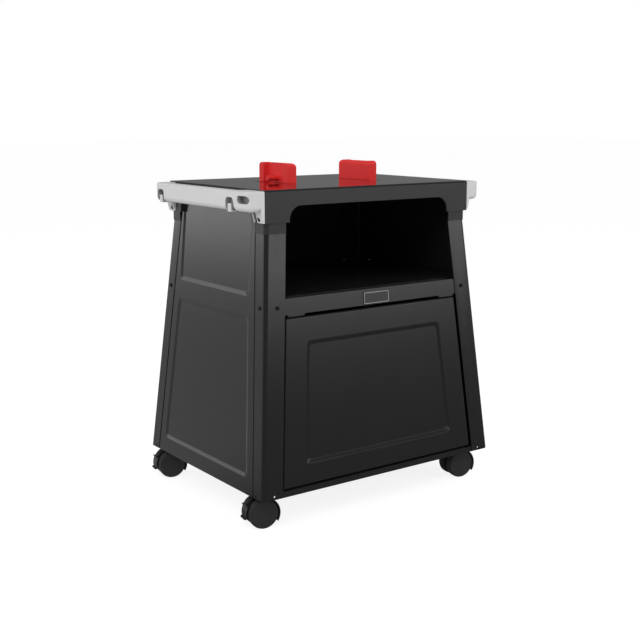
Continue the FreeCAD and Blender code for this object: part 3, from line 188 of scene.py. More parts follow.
class Signal:
    """A shader socket that works in sums, products and ramps."""

    def __init__(self, tree, socket):
        self.tree, self.socket = tree, socket

    def maths(self, operation, other):
        """A Math node that works on this socket and another value."""
        return add_node(self.tree, "ShaderNodeMath", {"operation": operation}, {0: self, 1: other})

    def __add__(self, other):
        return self.maths("ADD", other)

    __radd__ = __add__

    def __mul__(self, other):
        return self.maths("MULTIPLY", other)

    __rmul__ = __mul__

    def __sub__(self, other):
        return self.maths("SUBTRACT", other)

    def __rsub__(self, other):
        return self * -1.0 + other

    def __truediv__(self, other):
        return self.maths("DIVIDE", other)

    def between(self, low, high):
        """Nought at low, one at high and straight between them."""
        scaled = (self - low) / (high - low)
        scaled.socket.node.use_clamp = True
        return scaled


def feed(tree, socket, value):
    """Link a signal to a socket, or set the socket to a plain value."""
    if isinstance(value, Signal):
        tree.links.new(value.socket, socket)
    else:
        socket.default_value = value


def add_node(tree, kind, settings=None, inputs=None, output=0):
    """A node: its settings first, then its sockets; gives back one output."""
    node = tree.nodes.new(kind)
    for name, value in (settings or {}).items():
        setattr(node, name, value)
    for name, value in (inputs or {}).items():
        feed(tree, node.inputs[name], value)
    return Signal(tree, node.outputs[output])


def vector_maths(tree, operation, *values, output=0):
    """A Vector Math node on one or two values."""
    settings = {"operation": operation}
    return add_node(tree, "ShaderNodeVectorMath", settings, dict(enumerate(values)), output)


def tone(colour, factor=1.0):
    """An opaque colour made darker or paler."""
    return tuple(channel * factor for channel in colour[:3]) + (1.0,)


def grey(level):
    """An opaque grey."""
    return (level, level, level, 1.0)


class Finish:
    """A material under construction."""

    def __init__(self, name, **constants):
        self.material = bpy.data.materials.new(name)
        self.material.use_nodes = True
        self.tree = self.material.node_tree
        self.shader = self.tree.nodes["Principled BSDF"]
        self.set(**constants)

    def set(self, **values):
        """Set or link the shader's own sockets, named with underscores for spaces."""
        for name, value in values.items():
            socket = name.replace("_", " ").title().replace("Ior", "IOR")
            feed(self.tree, self.shader.inputs[socket], value)

    def node(self, kind, settings=None, inputs=None, output=0):
        """Any other node; gives back one output."""
        return add_node(self.tree, kind, settings, inputs, output)

    def place(self):
        """The piece's own coordinates, in metres."""
        return self.node("ShaderNodeTexCoord", output="Object")

    def noise(self, per_metre, detail, roughness=0.5, stretch=None):
        """Even noise from nought to one, at a scale in waves per metre."""
        place = self.place()
        if stretch:
            place = self.node("ShaderNodeMapping", inputs={"Vector": place, "Scale": stretch})
        inputs = {"Vector": place, "Scale": per_metre, "Detail": detail, "Roughness": roughness}
        return self.node("ShaderNodeTexNoise", inputs=inputs)

    def blend(self, factor, first, second):
        """Two colours mixed."""
        inputs = {0: factor, 6: first, 7: second}
        return self.node("ShaderNodeMix", {"data_type": "RGBA"}, inputs, 2)

    def cloud(self, colour, shade, per_metre, detail):
        """A colour that drifts to a shade of itself and back."""
        return self.blend(self.noise(per_metre, detail), tone(colour), tone(colour, shade))

    def matt(self, per_metre, detail, spread, least):
        """Make the roughness uneven."""
        self.set(roughness=self.noise(per_metre, detail) * spread + least)

    def bump(self, height, distance):
        """A bump on the shader's normal, its height in metres."""
        inputs = {"Height": height, "Distance": distance}
        self.set(normal=self.node("ShaderNodeBump", inputs=inputs))


def black_sheet(colour):
    """Powder-coated sheet steel: a fine orange peel under a satin gloss."""
    finish = Finish("black_sheet", specular_ior_level=0.5)
    finish.set(base_color=finish.cloud(colour, 1.25, 9.0, 2.0))
    finish.matt(60.0, 3.0, 0.05, 0.17)
    finish.bump(finish.noise(900.0, 2.0), 0.00004)
    return finish.material


def glossy_top(colour):
    """The mirror-dark top with faint wipe marks; its edges and underside are painted shade, satin
    black by the way they face, so they mirror nothing.
    """
    finish = Finish("glossy_top")
    normal = finish.node("ShaderNodeNewGeometry", output="Normal")
    rise = finish.node("ShaderNodeSeparateXYZ", inputs={0: normal}, output="Z")
    # Painted shade: faces that do not point up are made satin black and not metallic, so the
    # plate's edges show no reflection.
    upwards = rise.between(0.8, 0.95)
    wipes = finish.noise(14.0, 4.0, 0.6, (1.0, 3.0, 1.0))
    bright = finish.blend(wipes, tone(colour), tone(colour, 0.94))
    finish.set(base_color=finish.blend(upwards, grey(0.02), bright), metallic=upwards)
    finish.set(roughness=wipes * 0.04 + (1.0 - upwards) * 0.4 + 0.04)
    finish.bump(finish.noise(160.0, 2.0), 0.00001)
    return finish.material


def frame_black(colour):
    """The moulded frame: satin black with a fine grain."""
    finish = Finish("frame_black", specular_ior_level=0.5)
    finish.set(base_color=finish.cloud(colour, 1.2, 7.0, 2.0))
    finish.matt(40.0, 3.0, 0.07, 0.3)
    finish.bump(finish.noise(1400.0, 2.0), 0.00003)
    return finish.material


def grained_grey(colour):
    """Light grey moulded plastic with a spark-eroded grain, and painted shade that darkens its
    hollows.
    """
    finish = Finish("grained_grey", specular_ior_level=0.42)
    plain = finish.cloud(colour, 0.95, 11.0, 3.0)
    # Painted shade: ambient occlusion darkens the colour to about a third of itself in the oval
    # recess, the hook notches and other hollows.
    settings = {"samples": 8, "only_local": True}
    openness = finish.node("ShaderNodeAmbientOcclusion", settings, {"Distance": 0.03}, "AO")
    painted_hollow_shade = tone(colour, 0.34)
    finish.set(base_color=finish.blend(openness.between(0.25, 0.92), painted_hollow_shade, plain))
    finish.matt(500.0, 2.0, 0.1, 0.4)
    finish.bump(finish.noise(2200.0, 3.0), 0.00005)
    return finish.material


def satin_red(colour):
    """Red moulded plastic, a little paler in patches."""
    finish = Finish("satin_red", specular_ior_level=0.4)
    finish.set(base_color=finish.cloud(colour, 1.08, 30.0, 2.0))
    finish.matt(300.0, 2.0, 0.1, 0.5)
    finish.bump(finish.noise(1800.0, 2.0), 0.00004)
    return finish.material


def moulded_black(name, colour, roughness):
    """Black moulded plastic of the casters and the catch."""
    finish = Finish(name, specular_ior_level=0.45)
    finish.set(base_color=finish.cloud(colour, 1.5, 45.0, 3.0))
    finish.matt(220.0, 3.0, 0.12, roughness)
    finish.bump(finish.noise(1500.0, 2.0), 0.00006)
    return finish.material


def zinc_steel(name, tint, roughness):
    """Zinc-plated steel with a faint turned grain."""
    finish = Finish(name, metallic=1.0)
    finish.set(base_color=finish.cloud(tint, 0.75, 300.0, 3.0))
    finish.matt(800.0, 2.0, 0.15, roughness)
    finish.bump(finish.noise(1500.0, 2.0, 0.5, (1.0, 1.0, 8.0)), 0.00002)
    return finish.material


def pale_line(colour):
    """The pale line round the badge plate's field."""
    finish = Finish("pale_line", specular_ior_level=0.5)
    finish.set(base_color=finish.cloud(colour, 0.85, 90.0, 2.0))
    finish.matt(400.0, 2.0, 0.1, 0.35)
    return finish.material


# Settings


def colour_setting(name, description, default):
    """A colour that the sidebar shows."""
    return FloatVectorProperty(
        name=name, description=description, subtype="COLOR", default=default, min=0.0, max=1.0
    )


def length_setting(name, description, default, low, high):
    """A length that the sidebar shows, given here in millimetres."""
    return FloatProperty(
        name=name,
        description=description,
        unit="LENGTH",
        default=default * MM,
        min=low * MM,
        max=high * MM,
    )


class CartFinishes(bpy.types.PropertyGroup):
    """The cart's colours."""

    sheet: colour_setting(
        "Sheet steel",
        "Colour of the powder-coated legs, panels, door and rails",
        (0.011, 0.011, 0.0113),
    )
    top: colour_setting("Top", "Colour of the glossy top plate", (0.38, 0.38, 0.383))
    rim: colour_setting("Top frame", "Colour of the frame round the top", (0.029, 0.029, 0.03))
    handle: colour_setting("Handles", "Colour of the two side handles", (0.65, 0.652, 0.65))
    lock: colour_setting("Grill locks", "Colour of the two grill locks", (0.78, 0.03, 0.03))
    caster: colour_setting("Casters", "Colour of the wheels and hoods", (0.021, 0.021, 0.021))


class CartSizes(bpy.types.PropertyGroup):
    """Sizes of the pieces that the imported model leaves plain."""

    press_depth: length_setting(
        "Press depth", "How deep the panels and the door are pressed in", 2.2, 1, 6
    )
    press_bevel: length_setting(
        "Press slope", "Width of the sloping band round each pressing", 8, 4, 16
    )
    fold_radius: length_setting(
        "Fold radius", "Outer radius of the folds along the panels' edges", 2, 1, 3
    )
    door_fold: length_setting(
        "Door fold radius", "Outer radius of the rolled edge round the door", 3, 2, 6
    )
    sheet_edge: length_setting(
        "Edge softness", "Radius of the softened edges on folded and moulded pieces", 0.5, 0.1, 1
    )
    screw_head: length_setting("Screw head radius", "Radius of the pan heads", 4.4, 3, 6)


# Mesh building


def named_finish(name):
    """One material by name, made when it is first asked for."""
    colours = bpy.context.scene.cart_finishes
    makers = {
        "black_sheet": lambda: black_sheet(colours.sheet),
        "glossy_top": lambda: glossy_top(colours.top),
        "frame_black": lambda: frame_black(colours.rim),
        "grained_grey": lambda: grained_grey(colours.handle),
        "satin_red": lambda: satin_red(colours.lock),
        "caster_black": lambda: moulded_black("caster_black", colours.caster, 0.36),
        "tread_black": lambda: moulded_black("tread_black", colours.caster, 0.5),
        "catch_black": lambda: moulded_black("catch_black", (0.003, 0.003, 0.003), 0.6),
        "dark_zinc": lambda: zinc_steel("dark_zinc", (0.07, 0.07, 0.073), 0.35),
        "bright_zinc": lambda: zinc_steel("bright_zinc", (0.6, 0.6, 0.62), 0.25),
        "pale_line": lambda: pale_line((0.45, 0.45, 0.45)),
    }
    return bpy.data.materials.get(name) or makers[name]()


def paint(node, name):
    """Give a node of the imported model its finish."""
    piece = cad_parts[node]
    if not piece.material_slots:
        piece.data.materials.append(named_finish(name))
    for slot in piece.material_slots:
        slot.material = named_finish(name)


def add_object(name, data):
    """Put a mesh, a lamp or a camera in the scene."""
    piece = bpy.data.objects.new(name, data)
    bpy.context.scene.collection.objects.link(piece)
    return piece


def shade(mesh, angle):
    """Smooth shading, with sharp edges past an angle in degrees."""
    mesh.shade_smooth()
    mesh.set_sharp_from_angle(angle=math.radians(angle))


def new_piece(name, mesh, material, body, replaced=()):
    """Put a mesh in the scene as a smooth-shaded piece that rides on a body."""
    piece = add_object(name, mesh)
    mesh.materials.clear()
    mesh.materials.append(named_finish(material))
    shade(mesh, SHARP_ANGLE)
    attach(piece, body)
    if replaced:
        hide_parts(*replaced)
    return piece


def tidy_normals(mesh):
    """Merge doubles and turn every face outwards."""
    work = bmesh.new()
    work.from_mesh(mesh)
    bmesh.ops.remove_doubles(work, verts=work.verts, dist=DOUBLES)
    bmesh.ops.recalc_face_normals(work, faces=work.faces)
    work.to_mesh(mesh)
    work.free()


def bake_modifiers(piece):
    """Turn a piece's live modifiers into its mesh."""
    graph = bpy.context.evaluated_depsgraph_get()
    graph.update()
    mesh = bpy.data.meshes.new_from_object(piece.evaluated_get(graph))
    piece.modifiers.clear()
    piece.data = mesh


def crisp(piece, angle=SHARP_ANGLE):
    """Smooth shading that keeps the flats flat, with sharp edges past an angle."""
    shade(piece.data, angle)
    flatten = piece.modifiers.new("flats", "WEIGHTED_NORMAL")
    flatten.mode = "FACE_AREA"
    flatten.weight = 100
    flatten.keep_sharp = True
    bake_modifiers(piece)


def soften(node, name, material, body, width, segments=2, above=0.0):
    """A copy of a node with softly rounded edges above a height, in place of the node."""
    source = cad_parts[node]
    mesh = source.data.copy()
    mesh.transform(source.matrix_world)
    work = bmesh.new()
    work.from_mesh(mesh)
    bmesh.ops.remove_doubles(work, verts=work.verts, dist=NODE_DOUBLES)
    merged = math.radians(MERGED_ANGLE)
    bmesh.ops.dissolve_limit(work, angle_limit=merged, verts=work.verts, edges=work.edges)
    weight = work.edges.layers.float.new("bevel_weight_edge")
    for edge in work.edges:
        lowest = min(corner.co.z for corner in edge.verts)
        turns = edge.calc_face_angle(0.0) > math.radians(BEVELLED_ANGLE)
        edge[weight] = float(lowest > above * MM and turns)
    work.to_mesh(mesh)
    work.free()
    if "custom_normal" in mesh.attributes:
        mesh.attributes.remove(mesh.attributes["custom_normal"])
    piece = new_piece(name, mesh, material, body, (node,))
    bevel = piece.modifiers.new("edges", "BEVEL")
    bevel.width = width
    bevel.segments = segments
    bevel.limit_method = "WEIGHT"
    bevel.miter_outer = "MITER_ARC"
    bevel.use_clamp_overlap = True
    bake_modifiers(piece)
    crisp(piece, SOFTENED_SHARP_ANGLE)


# The leaning faces between the legs


class Face:
    """One leaning side of the cart, with its own flat coordinates."""

    def __init__(self, heading):
        self.across = heading in (-90, 90)
        self.slope = SIDE_SLOPE if self.across else FRONT_SLOPE
        self.stretch = math.sqrt(1 + self.slope * self.slope)
        reach = LEG_X if self.across else LEG_Y
        turn = Matrix.Rotation(math.radians(heading), 4, "Z")
        lean = Matrix.Rotation(-math.atan(self.slope), 4, "X")
        outwards = turn @ Vector((0, -reach, 0))
        self.matrix = Matrix.Translation(outwards + Vector((0, 0, BEND))) @ turn @ lean
        self.outwards = self.matrix.to_3x3() @ Vector((0, -1, 0))

    def run(self, height):
        """A height as a distance up the face from the bend."""
        return -(BEND - height) * self.stretch

    def outer(self, height):
        """Half the distance between the legs' outer faces at a height."""
        reach, slope = (LEG_Y, FRONT_SLOPE) if self.across else (LEG_X, SIDE_SLOPE)
        return reach + slope * (BEND - height)

    def half(self, height, inset):
        """Half the width between the legs' sheets at a height, less an inset."""
        return self.outer(height) - (LEG_SIDE if self.across else LEG_FRONT) - inset

    def trapezoid(self, low, high, inset):
        """The four corners of a panel, from the lower left round to the upper left."""
        return [
            Vector((-self.half(low, inset), self.run(low))),
            Vector((self.half(low, inset), self.run(low))),
            Vector((self.half(high, inset), self.run(high))),
            Vector((-self.half(high, inset), self.run(high))),
        ]

    def block(self, half, low, high):
        """The four corners of an upright rectangle."""
        return rectangle(-half, half, self.run(low), self.run(high))

    def place(self, x, depth, up):
        """A point of the face, in the cart's coordinates."""
        return self.matrix @ Vector((x, depth, up))


def rectangle(left, right, low, high):
    """Four corners, from the lower left round to the upper left."""
    return [Vector(corner) for corner in ((left, low), (right, low), (right, high), (left, high))]


def ring(corners, inset, radius, steps):
    """Points along a four-cornered outline moved inwards, its corners rounded."""
    lines = []
    for start, end in zip(corners, corners[1:] + corners[:1]):
        along = (end - start).normalized()
        inward = Vector((-along.y, along.x))
        lines.append((start + inward * inset, along))
    points = []
    for index, after in enumerate(lines):
        before = lines[index - 1]
        gap = after[0] - before[0]
        across = before[1].x * after[1].y - before[1].y * after[1].x
        reach = (gap.x * after[1].y - gap.y * after[1].x) / across
        corner = before[0] + before[1] * reach
        turn = math.acos(max(-1.0, min(1.0, before[1].dot(after[1]))))
        start = corner - before[1] * (radius * math.tan(turn / 2))
        centre = start + Vector((-before[1].y, before[1].x)) * radius
        first = math.atan2(start.y - centre.y, start.x - centre.x)
        for step in range(steps + 1):
            angle = first + turn * step / steps
            points.append(centre + Vector((math.cos(angle), math.sin(angle))) * radius)
    return points


def ease(part, bend=0.12):
    """A rise from nought to one: a straight slope with a short rounded bend at each end."""
    if part < bend:
        return part * part / (2 * bend * (1 - bend))
    if part > 1 - bend:
        return 1 - ease(1 - part, bend)
    return (part - bend / 2) / (1 - bend)


def fold_rings(outline, fold, flange, recess):
    """The rings of a folded edge, from the flange's lip to just inside the flat sheet."""
    rings = [(ring(outline, 0, FOLD_CORNER, CORNER_STEPS), recess + flange)]
    for step in range(FOLD_TURNS + 1):
        angle = math.pi / 2 * step / FOLD_TURNS
        points = ring(outline, fold * (1 - math.cos(angle)), FOLD_CORNER, CORNER_STEPS)
        rings.append((points, recess + fold * (1 - math.sin(angle))))
    rings.append((ring(outline, fold + MARGIN, FOLD_CORNER, CORNER_STEPS), recess))
    return rings


def press_rings(pressing, sizes, recess):
    """The rings of a pressed field, from the flat sheet outside it to its flat bottom."""
    bevel = sizes.press_bevel / MM
    depth = sizes.press_depth / MM
    rings = [(ring(pressing, -LEAD - MARGIN, PRESS_BORDER_CORNER, CORNER_STEPS), recess)]
    for part in PRESS_STEPS:
        inset = -LEAD + (bevel + 2 * LEAD) * part
        corner = PRESS_CORNER - PRESS_CORNER_LOSS * part
        points = ring(pressing, inset, corner, CORNER_STEPS)
        rings.append((points, recess + depth * ease(part)))
    return rings


def add_rings(work, face, rings):
    """Join rings of equal counts with quads; give back the first and the last ring's points."""
    levels = []
    for points, depth in rings:
        places = [face.place(point.x, depth, point.y) + MIDDLE for point in points]
        levels.append([work.verts.new(place * MM) for place in places])
    for low, high in zip(levels, levels[1:]):
        for index in range(len(low)):
            following = (index + 1) % len(low)
            work.faces.new((low[index], low[following], high[following], high[index]))
    return levels[0], levels[-1]


def pressed_sheet(name, body, face, outline, pressings, sizes, fold, flange, recess):
    """A sheet with folded edges and pressed fields, in place of the node of its name."""
    work = bmesh.new()
    edges = [add_rings(work, face, fold_rings(outline, fold / MM, flange, recess))[1]]
    for pressing in pressings:
        outside, bottom = add_rings(work, face, press_rings(pressing, sizes, recess))
        edges.append(outside)
        work.faces.new(bottom)
    borders = []
    for points in edges:
        pairs = zip(points, points[1:] + points[:1])
        borders += [work.edges.get(pair) for pair in pairs]
    flats = bmesh.ops.triangle_fill(work, use_beauty=True, edges=borders)["geom"]
    work.normal_update()
    for item in flats:
        if isinstance(item, bmesh.types.BMFace) and item.normal.dot(face.outwards) < 0:
            item.normal_flip()
    mesh = bpy.data.meshes.new(f"pressed_{name}")
    work.to_mesh(mesh)
    work.free()
    piece = new_piece(f"pressed_{name}", mesh, "black_sheet", body, (name,))
    solid = piece.modifiers.new("sheet", "SOLIDIFY")
    solid.thickness = PANEL_SHEET * MM
    solid.offset = -1.0
    solid.use_even_offset = True
    bake_modifiers(piece)
    tidy_normals(piece.data)
    return piece


def add_block(work, face, x_spans, depth_span, height_span):
    """Add a block in the face's coordinates, with an x span for each of its two heights."""
    corners = []
    for x_span, height in zip(x_spans, height_span):
        for x, depth in ((0, 0), (1, 0), (1, 1), (0, 1)):
            place = face.place(x_span[x], depth_span[depth], face.run(height))
            corners.append(work.verts.new((place + MIDDLE) * MM))
    sides = ((0, 1, 2, 3), (7, 6, 5, 4), (4, 5, 1, 0), (5, 6, 2, 1), (6, 7, 3, 2), (7, 4, 0, 3))
    block = [work.faces.new([corners[index] for index in side]) for side in sides]
    bmesh.ops.recalc_face_normals(work, faces=block)


def cut_away(piece, face, rooms):
    """Cut blocks, given as x, depth and height spans in the face, out of a piece."""
    work = bmesh.new()
    for x_span, depth_span, height_span in rooms:
        add_block(work, face, (x_span, x_span), depth_span, height_span)
    mesh = bpy.data.meshes.new("rooms")
    work.to_mesh(mesh)
    work.free()
    cutter = add_object("rooms", mesh)
    cut = piece.modifiers.new("rooms", "BOOLEAN")
    cut.operation = "DIFFERENCE"
    cut.solver = "EXACT"
    cut.object = cutter
    bake_modifiers(piece)
    bpy.data.objects.remove(cutter)


class CART_OT_sheet_panels(bpy.types.Operator):
    """Press the side and back panels and fold their edges"""

    bl_idname = "cart.sheet_panels"
    bl_label = "Side and Back Panels"

    def execute(self, context):
        sizes = context.scene.cart_sizes
        fold = sizes.fold_radius
        for node, heading, margin, half in PANELS:
            face = Face(heading)
            top = PANEL_TOP - PANEL_RECESS * face.slope
            outline = face.trapezoid(SKIRT_BOTTOM, top, PANEL_GAP)
            pressings = (
                face.trapezoid(*LOW_PRESSING, PANEL_GAP + margin),
                face.block(half, *HIGH_PRESSING),
            )
            piece = pressed_sheet(
                node, "cart", face, outline, pressings, sizes, fold, PANEL_FLANGE, PANEL_RECESS
            )
            rooms = [RAIL_ROOM, TRAY_ROOM]
            if face.across:
                rear = 1 if heading == 90 else -1
                rooms.append((tuple(rear * x for x in HANDLE_ROOM_X), *HANDLE_ROOM))
            cut_away(piece, face, rooms)
            self.add_lips(face, piece)
            crisp(piece)
        return {"FINISHED"}

    def add_lips(self, face, piece):
        """The lips that hold the panel behind the legs' sheets and keep the light out."""
        work = bmesh.new()
        work.from_mesh(piece.data)
        for heights in LIP_HEIGHTS:
            for side in (-1, 1):
                spans = [
                    (side * face.half(height, LIP_START), side * face.half(height, LIP_END))
                    for height in heights
                ]
                add_block(work, face, spans, (LIP_DEPTH, LIP_DEPTH + PANEL_SHEET), heights)
        work.to_mesh(piece.data)
        work.free()


class CART_OT_door(bpy.types.Operator):
    """Press the drop-down door and fold its edges"""

    bl_idname = "cart.door"
    bl_label = "Door"

    def execute(self, context):
        sizes = context.scene.cart_sizes
        face = Face(0)
        outline = face.trapezoid(DOOR_BOTTOM, DOOR_TOP, DOOR_GAP)
        pressings = (face.trapezoid(*DOOR_PRESSING, DOOR_MARGIN),)
        fold = sizes.door_fold
        piece = pressed_sheet(
            "door", "door", face, outline, pressings, sizes, fold, DOOR_FLANGE, DOOR_RECESS
        )
        cut_away(piece, face, [(span, *BRACKET_ROOM) for span in BRACKET_ROOM_X])
        crisp(piece)
        return {"FINISHED"}


class CART_OT_steel_structure(bpy.types.Operator):
    """Soften the folds and edges of the legs, rails and tray, and paint the shelf, stiffeners,
    brackets, pins and catch
    """

    bl_idname = "cart.steel_structure"
    bl_label = "Legs, Rails, Shelf and Tray"

    def execute(self, context):
        edge = context.scene.cart_sizes.sheet_edge
        for corner, _, _ in CORNERS:
            soften(f"leg_{corner}", f"folded_leg_{corner}", "black_sheet", "cart", edge * 0.8)
            paint(f"caster_bracket_{corner}", "black_sheet")
        for name in ("front_rail", "back_rail", "side_rail_left", "side_rail_right"):
            soften(name, f"folded_{name}", "black_sheet", "cart", edge * 1.2)
        soften("base_tray", "pressed_tray", "black_sheet", "cart", edge)
        for name in ("middle_shelf", "plate_stiffener_left", "plate_stiffener_right"):
            paint(name, "black_sheet")
        for name in ("door_hinge_bracket_left", "door_hinge_bracket_right", "door_hinge_pins"):
            paint(name, "bright_zinc")
        paint("door_catch", "catch_black")
        return {"FINISHED"}


class CART_OT_top(bpy.types.Operator):
    """Finish the moulded frame and the glossy plate in it"""

    bl_idname = "cart.top"
    bl_label = "Top Frame and Plate"

    def execute(self, context):
        edge = context.scene.cart_sizes.sheet_edge
        soften("top_frame", "moulded_frame", "frame_black", "cart", edge * 1.6, 3)
        soften("top_plate", "enamelled_top", "glossy_top", "cart", edge)
        return {"FINISHED"}


class CART_OT_handles(bpy.types.Operator):
    """Finish the two side handles"""

    bl_idname = "cart.handles"
    bl_label = "Handles"

    def execute(self, context):
        edge = context.scene.cart_sizes.sheet_edge
        for side in ("left", "right"):
            name = f"handle_{side}"
            soften(name, f"moulded_{name}", "grained_grey", "cart", edge * 2.0, 3)
        return {"FINISHED"}


class CART_OT_locks(bpy.types.Operator):
    """Finish the two red grill locks"""

    bl_idname = "cart.locks"
    bl_label = "Grill Locks"

    def execute(self, context):
        edge = context.scene.cart_sizes.sheet_edge
        for side in ("left", "right"):
            name, body = f"moulded_lock_{side}", f"lock_{side}"
            soften(body, name, "satin_red", body, edge * 2.4, 3, above=RIM_HIGH.z)
            paint(f"lock_shoe_{side}", "bright_zinc")
        return {"FINISHED"}


class CART_OT_casters(bpy.types.Operator):
    """Finish the twin-wheel casters, their hoods and brake levers"""

    bl_idname = "cart.casters"
    bl_label = "Casters"

    def execute(self, context):
        edge = context.scene.cart_sizes.sheet_edge
        for corner, _, _ in CORNERS:
            wheels, hood = f"twin_wheels_{corner}", f"moulded_hood_{corner}"
            soften(f"caster_wheels_{corner}", wheels, "tread_black", f"wheels_{corner}", edge)
            soften(f"caster_hood_{corner}", hood, "caster_black", f"swivel_{corner}", edge)
            paint(f"caster_axle_{corner}", "bright_zinc")
        for corner in ("front_left", "back_left"):
            lever = f"brake_lever_{corner}"
            soften(lever, f"moulded_{lever}", "caster_black", f"brake_{corner}", edge)
        paint("caster_stems", "bright_zinc")
        return {"FINISHED"}


class CART_OT_badge(bpy.types.Operator):
    """Add the bare badge plate with its pale border line"""

    bl_idname = "cart.badge"
    bl_label = "Badge Plate"

    def execute(self, context):
        soften("badge_plate", "bare_badge", "frame_black", "cart", 0.3 * MM)
        face = Face(0)
        middle = face.run((RAIL_TOP + RAIL_BOTTOM) / 2 - BADGE_DROP)
        left, right = BADGE_MIDDLE - BADGE_WIDTH / 2, BADGE_MIDDLE + BADGE_WIDTH / 2
        low, high = middle - BADGE_HEIGHT / 2, middle + BADGE_HEIGHT / 2
        corners = rectangle(left, right, low, high)
        front = STEEL_SHEET / face.stretch - BADGE_THICKNESS
        points, faces = [], []
        for inset, depth in BORDER:
            radius = BORDER_CORNER - BORDER_CORNER_LOSS * inset
            for point in ring(corners, inset, radius, BORDER_STEPS):
                place = face.place(point.x, front + depth, point.y)
                points.append(((place.x + MIDDLE_X) * MM, place.y * MM, place.z * MM))
        count = len(points) // len(BORDER)
        for level in range(len(BORDER)):
            here, there = level * count, (level + 1) % len(BORDER) * count
            for index in range(count):
                following = (index + 1) % count
                faces.append((here + index, here + following, there + following, there + index))
        mesh = bpy.data.meshes.new("badge_border")
        mesh.from_pydata(points, [], faces)
        mesh.validate()
        tidy_normals(mesh)
        new_piece("badge_border", mesh, "pale_line", "cart")
        return {"FINISHED"}


# Screws


def screw_mesh(radius):
    """A pan head with a hexagon socket, its seat at nought and its axis along Z."""
    turns = [2 * math.pi * step / SCREW_STEPS for step in range(SCREW_STEPS)]
    points, faces = [], []
    for part, height in PAN:
        reach = radius / MM * part
        points += [(reach * math.cos(turn), reach * math.sin(turn), height) for turn in turns]
    for height in SOCKET_HEIGHTS:
        for turn in turns:
            side = (turn % (math.pi / 3)) - math.pi / 6
            reach = SOCKET_REACH * math.cos(math.pi / 6) / math.cos(side)
            points.append((reach * math.cos(turn), reach * math.sin(turn), height))
    levels = len(points) // SCREW_STEPS
    for level in range(levels - 1):
        for step in range(SCREW_STEPS):
            following = (step + 1) % SCREW_STEPS
            low, high = level * SCREW_STEPS, (level + 1) * SCREW_STEPS
            faces.append((low + step, low + following, high + following, high + step))
    faces.append(tuple(range((levels - 1) * SCREW_STEPS, levels * SCREW_STEPS)))
    faces.append(tuple(reversed(range(SCREW_STEPS))))
    mesh = bpy.data.meshes.new("screw_head")
    mesh.from_pydata([(x * MM, y * MM, z * MM) for x, y, z in points], [], faces)
    mesh.validate()
    return mesh


def scatter_tree(name, material):
    """A Geometry Nodes tree that sets one piece at every point, turned to the point's normal."""
    tree = bpy.data.node_groups.new(name, "GeometryNodeTree")
    tree.interface.new_socket("Points", in_out="INPUT", socket_type="NodeSocketGeometry")
    tree.interface.new_socket("Piece", in_out="INPUT", socket_type="NodeSocketObject")
    tree.interface.new_socket("Size", in_out="INPUT", socket_type="NodeSocketFloat")
    tree.interface.new_socket("Result", in_out="OUTPUT", socket_type="NodeSocketGeometry")
    add = tree.nodes.new
    start, end = add("NodeGroupInput"), add("NodeGroupOutput")
    source = add("GeometryNodeObjectInfo")
    heading = add("GeometryNodeInputNamedAttribute")
    heading.data_type = "FLOAT_VECTOR"
    heading.inputs["Name"].default_value = "pointing"
    align = add("FunctionNodeAlignRotationToVector")
    align.axis = "Z"
    spread = add("GeometryNodeInstanceOnPoints")
    real = add("GeometryNodeRealizeInstances")
    coat = add("GeometryNodeSetMaterial")
    coat.inputs["Material"].default_value = material
    link = tree.links.new
    link(start.outputs["Points"], spread.inputs["Points"])
    link(start.outputs["Piece"], source.inputs["Object"])
    link(source.outputs["Geometry"], spread.inputs["Instance"])
    link(heading.outputs["Attribute"], align.inputs["Vector"])
    link(align.outputs["Rotation"], spread.inputs["Rotation"])
    link(start.outputs["Size"], spread.inputs["Scale"])
    link(spread.outputs["Instances"], real.inputs["Geometry"])
    link(real.outputs["Geometry"], coat.inputs["Geometry"])
    link(coat.outputs["Geometry"], end.inputs["Result"])
    return tree


def scatter(name, places, master, material, body, replaced):
    """Set a copy of the master at every place and keep the result as one plain mesh."""
    mesh = bpy.data.meshes.new(name)
    points = [((place.x + MIDDLE_X) * MM, place.y * MM, place.z * MM) for place, _ in places]
    mesh.from_pydata(points, [], [])
    pointing = mesh.attributes.new("pointing", "FLOAT_VECTOR", "POINT")
    for index, (_, normal) in enumerate(places):
        pointing.data[index].vector = normal
    piece = add_object(name, mesh)
    tree = scatter_tree(f"{name}_scatter", named_finish(material))
    modifier = piece.modifiers.new("scatter", "NODES")
    modifier.node_group = tree
    sockets = {item.name: item.identifier for item in tree.interface.items_tree}
    modifier[sockets["Piece"]] = master
    modifier[sockets["Size"]] = 1.0
    bake_modifiers(piece)
    shade(piece.data, SCREW_SHARP_ANGLE)
    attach(piece, body)
    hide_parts(replaced)


class CART_OT_screws(bpy.types.Operator):
    """Set the screws on the legs and in the handles' foot pads"""

    bl_idname = "cart.screws"
    bl_label = "Screws"

    def execute(self, context):
        master = add_object("screw_master", screw_mesh(context.scene.cart_sizes.screw_head))
        rail_places, pad_places = [], []
        for heading in (0, 180, -90, 90):
            face = Face(heading)
            offset = RAIL_SCREW_SIDE if face.across else RAIL_SCREW_FRONT
            for side in (-1, 1):
                place = face.place(side * offset, 0, face.run(RAIL_SCREW_HEIGHT))
                rail_places.append((place, face.outwards))
        x, y, z = PAD_SCREW
        for _, sx, sy in CORNERS:
            pad_places.append((Vector((sx * x, sy * y, z)), Vector((sx, 0, 0))))
        scatter("leg_screws", rail_places, master, "dark_zinc", "cart", "rail_screws")
        scatter("pad_screws", pad_places, master, "dark_zinc", "cart", "handle_screws")
        bpy.data.objects.remove(master)
        return {"FINISHED"}


# Stage


